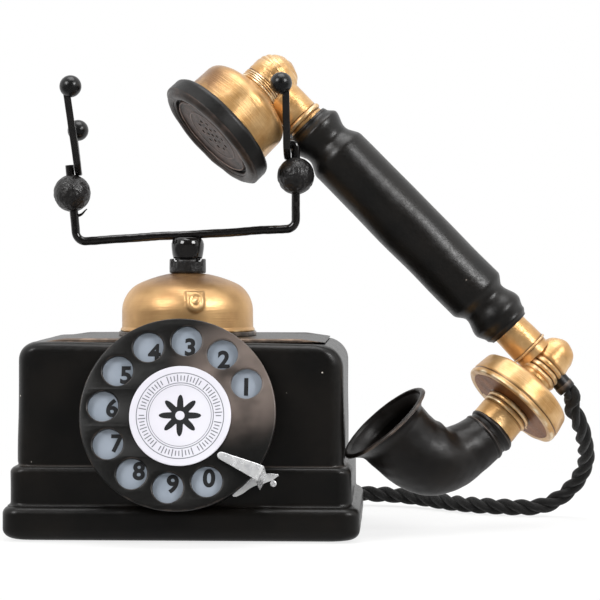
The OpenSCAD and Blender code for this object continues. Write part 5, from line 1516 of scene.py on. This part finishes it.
def make_mouth():
    """The mouth end's gilt pieces: a neck, a ribbed knob, a disc with a rounded edge and
    a collar with ribs, and the disc's dark face."""
    at = AT_MOUTH @ shift(-0.8, 0, 0)
    r, l1, stop = 9.1, GRIP_END, MOUTH_AXIS - 8
    profile = [(3.2, l1 + 0.05)] + fine([(r - 0.3, l1 + 0.05), (r, l1 + 12.6)], 1)
    profile += arc(r, l1 + 13.6, 0.6, -80, 80, 6)
    profile += fine([(r - 0.3, l1 + 14.4), (r - 0.3, stop)], 1) + [(3.2, stop)]
    handset_piece("mouth_neck_gilt", profile, "mouth_neck", ALONG_HANDSET, wobble=0.15, size=9,
                  seed=27)
    top = 9.8
    profile = arc(0, -6.4, top - 0.8, -89.8, 0, 20) + [(top - 0.3, -3.4), (top, -1.6)]
    profile += ribs_along(top, 0.9, 2.9, 3, 1.5, 7, 60) + [(top - 0.8, 9.6), (AXIS, 9.6)]
    handset_piece("mouth_knob_gilt", profile, "mouth_knob", at, wobble=0.2, size=7, seed=28)
    d = 25.2
    profile = [(AXIS, 9.62), (top - 0.8, 9.62)] + arc(top + 1.6, 11.2, 1.4, 200, 90, 6)
    profile += fine([(top + 2.4, 12.7), (d - 4.4, 14.0)], 1.2)
    profile += arc(d - 3.6, 16.6, 2.6, -70, 0, 9) + fine([(d - 0.9, 17.2), (d, 23.2)], 0.8)
    profile += [(d - 0.3, 23.6), (d - 0.4, 24), (d - 0.3, 24.4), (d + 0.1, 24.8),
                (d + 0.1, 25.9)]
    profile += arc(d - 0.8, 25.9, 0.9, 10, 90, 4) + [(d - 3, 26.8), (d - 3, 16), (AXIS, 16)]
    handset_piece("transmitter_disc_gilt", profile, "transmitter_disc", at, sides=160,
                  wobble=0.22, size=12, seed=29)
    h = 11.5
    profile = [(5, 22.6), (d - 3.1, 22.6), (d - 3.1, 26.6)]
    profile += fine([(d - 3.3, 26.7), (h + 2, 26.7)], 1.2) + [(h + 0.6, 26.9)]
    profile += ribs_along(h + 0.5, 28.6, 2.7, 2, 1.3, 7, 70)
    profile += fine([(h, 33.2), (h, HORN_START)], 1.0) + [(5, HORN_START)]
    handset_piece("horn_neck_gilt", profile, "horn_neck", at, loop=True, sides=128,
                  wobble=0.18, size=8, seed=30)
    # The face between neck and rim turns down, and this ring gives it painted shade: a darker,
    # browner gold
    profile = [(h + 0.8, 26.5), (d - 3.15, 26.5)]
    profile += fine([(d - 3.15, 26.85), (h + 3, 26.85)], 1) + [(h + 0.8, 27.1)]
    handset_piece("disc_face_dark", profile, None, at, "shaded_gilt", loop=True, sides=128,
                  wobble=0.03, size=8, seed=35)


def make_horn():
    """A tube along a line whose heading changes evenly between stations. Its radius
    follows the collar's ribs, swells through the bend and ends in a thick flared lip, a
    half round from the outside to the inside."""
    total, ribbed, flare = 65.0, 8.1, 6.5
    s = np.concatenate([np.linspace(0, ribbed, 40), np.linspace(8.4, total - 7, 80),
                        np.linspace(total - 6.6, total, 24)])
    stations = [0, ribbed, 20.7, 33.8, 48.1, total]
    turned = np.radians(np.interp(s, stations, [4, 12, 17, 52, 85, 94]))
    collar = np.interp(s, [0, 0.8, 1.7, 2.6, 3.4, 5, 5.8, 6.7, 7.6, ribbed],
                       [11.4, 12.1, 12.4, 12.1, 11.4, 11.4, 12.2, 12.5, 12.2, 12])
    even = np.linspace(0, total, 400)
    swell = np.interp(even, stations, [12.2, 12.1, 13.6, 17.8, 17.7, 18.7])
    swell = np.convolve(np.pad(swell, 30, "edge"), np.ones(61) / 61, "valid")
    lip = np.clip((s - total + flare) / flare, 0, 1)
    outside = np.where(s < ribbed, collar, np.interp(s, even, swell) + 5.6 * lip**2.2)
    inside = np.where(s < 9, 9.4, outside - measure("handset", "horn_wall") - 0.9 * lip)
    gap, heading = np.diff(s), (turned[1:] + turned[:-1]) / 2
    x = -np.concatenate([[0], np.cumsum(gap * np.sin(heading))])
    d = np.concatenate([[0], np.cumsum(gap * np.cos(heading))])
    middle = np.stack([x, 0 * x, d + HORN_START], 1)
    way = np.stack([-np.sin(turned), 0 * x, np.cos(turned)], 1)
    side = np.cross(way, [0, 1, 0])
    angle = around(128)[None, :, None]

    def shell(radius, order):
        """Circles of a radius round the line, across its way."""
        return (middle[order][:, None] + radius[order][:, None, None]
                * (np.cos(angle) * side[order][:, None] + np.sin(angle) * np.array([0, 1, 0])))

    there = np.arange(len(s))
    half = (outside - inside)[-1] / 2
    turns = np.radians([25, 50, 75, 90, 105, 130, 155])
    round_lip = [shell(outside - half + half * math.cos(t), there[-1:])
                 + way[-1] * half * math.sin(t) * 0.9 for t in turns]
    grid = np.concatenate([shell(outside, there), *round_lip, shell(inside, there[::-1])])
    out = outward(grid - np.concatenate(
        [middle, middle[[-1] * len(turns)], middle[::-1]])[:, None])
    swing = 0.25 * wave_field(grid, 20, 33) + 0.1 * wave_field(grid, 6, 34)
    fade = np.clip(s / 12, 0.1, 1)
    fade = np.concatenate([fade, [1] * len(turns), fade[::-1]])
    grid = grid + out * (swing * fade[:, None])[..., None]
    add_grid("horn_bent", grid, AT_MOUTH @ turn("Z", -12), "handset", "horn", ["mouth_horn"],
             loop=True, crease=60)


class TELEPHONE_OT_handset(bpy.types.Operator):
    """Make the grip, the gilt fittings, the receiver and the bent horn"""

    bl_idname = "telephone.handset"
    bl_label = "Handset"

    def execute(self, context):
        make_grip()
        make_receiver()
        make_ear_cap()
        make_ear_plate()
        make_mouth()
        make_horn()
        return {"FINISHED"}


# ---- Small and inner pieces ----

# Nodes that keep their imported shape, by their finish
KEPT = {
    "felt": ["felt_pad"],
    "number": ["number_plate"],
    "steel": ["case_screws", "dial_frame", "guide_tube", "ringer_frame", "switch_bracket",
              "hook_spring", "dial_shaft", "spring_drum", "plunger", "plunger_collar",
              "clapper", "tie_rod"],
    "brass": ["main_gear", "governor", "switch_leaves", "terminal_screws"],
    "bakelite": ["switch_block", "terminal_block", "pulse_contacts", "pulse_cam"],
    "winding": ["ringer_coils", "induction_coil"],
    "tin": ["capacitor", "receiver_capsule", "transmitter_capsule"],
}


class TELEPHONE_OT_works(bpy.types.Operator):
    """Make the cord's bush and gland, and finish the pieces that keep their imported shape"""

    bl_idname = "telephone.works"
    bl_label = "Works"

    def execute(self, context):
        profile = [(AXIS, 6.8), (4.4, 6.8), (4.4, 11.3), (4.6, 11.3), (4.6, 11.8),
                   (4.5, 13.6), (4.3, 14.6), (AXIS, BUSH_TIP)]
        handset_piece("cord_bush_moulded", profile, "cord_bush", ALONG_BUSH, "horn", sides=64)
        body, back, nose, foot = 5.8, 57.5, GLAND[1], 45.2
        profile = [(AXIS, foot), (body, foot), (body, back + 0.05), (body + 1.6, back + 0.05)]
        profile += arc(body + 1.0, back + 1.8, 0.6, 0, 90, 5) + [(body, back + 2.5)]
        for z in np.linspace(back + 3, nose - 0.6, 40):
            f = (z - back - 3) / (nose - back - 3.6)
            profile.append((body - 0.75 * f + 0.18 * math.cos(f * 9 * math.pi), z))
        profile += [(4.7, nose), (AXIS, nose)]
        at = shift(GLAND[0], 0, GLAND[2]) @ turn("X", -90)
        lathe("cord_gland_ribbed", profile, at, "base", "horn", ["cord_gland"], sides=64)
        for key, nodes in KEPT.items():
            for name in nodes:
                mesh = frame["nodes"][name].data
                mesh.materials.clear()
                mesh.materials.append(FINISHES[key])
        return {"FINISHED"}


# ---- Panel and registration ----

OPERATORS = (TELEPHONE_OT_stage, TELEPHONE_OT_cord, TELEPHONE_OT_case, TELEPHONE_OT_dial,
             TELEPHONE_OT_bell, TELEPHONE_OT_cradle, TELEPHONE_OT_handset,
             TELEPHONE_OT_works)


class TELEPHONE_PT_panel(bpy.types.Panel):
    """The telephone's sizes and its operators"""

    bl_label = "Table Telephone"
    bl_idname = "TELEPHONE_PT_panel"
    bl_space_type = "VIEW_3D"
    bl_region_type = "UI"
    bl_category = "Telephone"

    def draw(self, context):
        for operator in OPERATORS:
            box = self.layout.box()
            box.operator(operator.bl_idname)
            name = operator.bl_idname.split(".")[1]
            if name in GROUPS:
                for key in GROUPS[name].__annotations__:
                    box.prop(settings(name), key)


CLASSES = (*GROUPS.values(), *OPERATORS, TELEPHONE_PT_panel)


def register():
    """Adds the classes and the scene's property groups."""
    for made in CLASSES:
        bpy.utils.register_class(made)
    for name, group in GROUPS.items():
        setattr(bpy.types.Scene, "telephone_" + name, PointerProperty(type=group))


def unregister():
    """Takes them away again."""
    for name in GROUPS:
        delattr(bpy.types.Scene, "telephone_" + name)
    for made in reversed(CLASSES):
        bpy.utils.unregister_class(made)


def main():
    """Makes the telephone piece by piece."""
    register()
    FINISHES.update(make_finishes())
    bpy.ops.telephone.stage()
    bpy.ops.telephone.cord()
    bpy.ops.telephone.case()
    bpy.ops.telephone.dial()
    bpy.ops.telephone.bell()
    bpy.ops.telephone.cradle()
    bpy.ops.telephone.handset()
    bpy.ops.telephone.works()


if __name__ == "__main__":
    main()
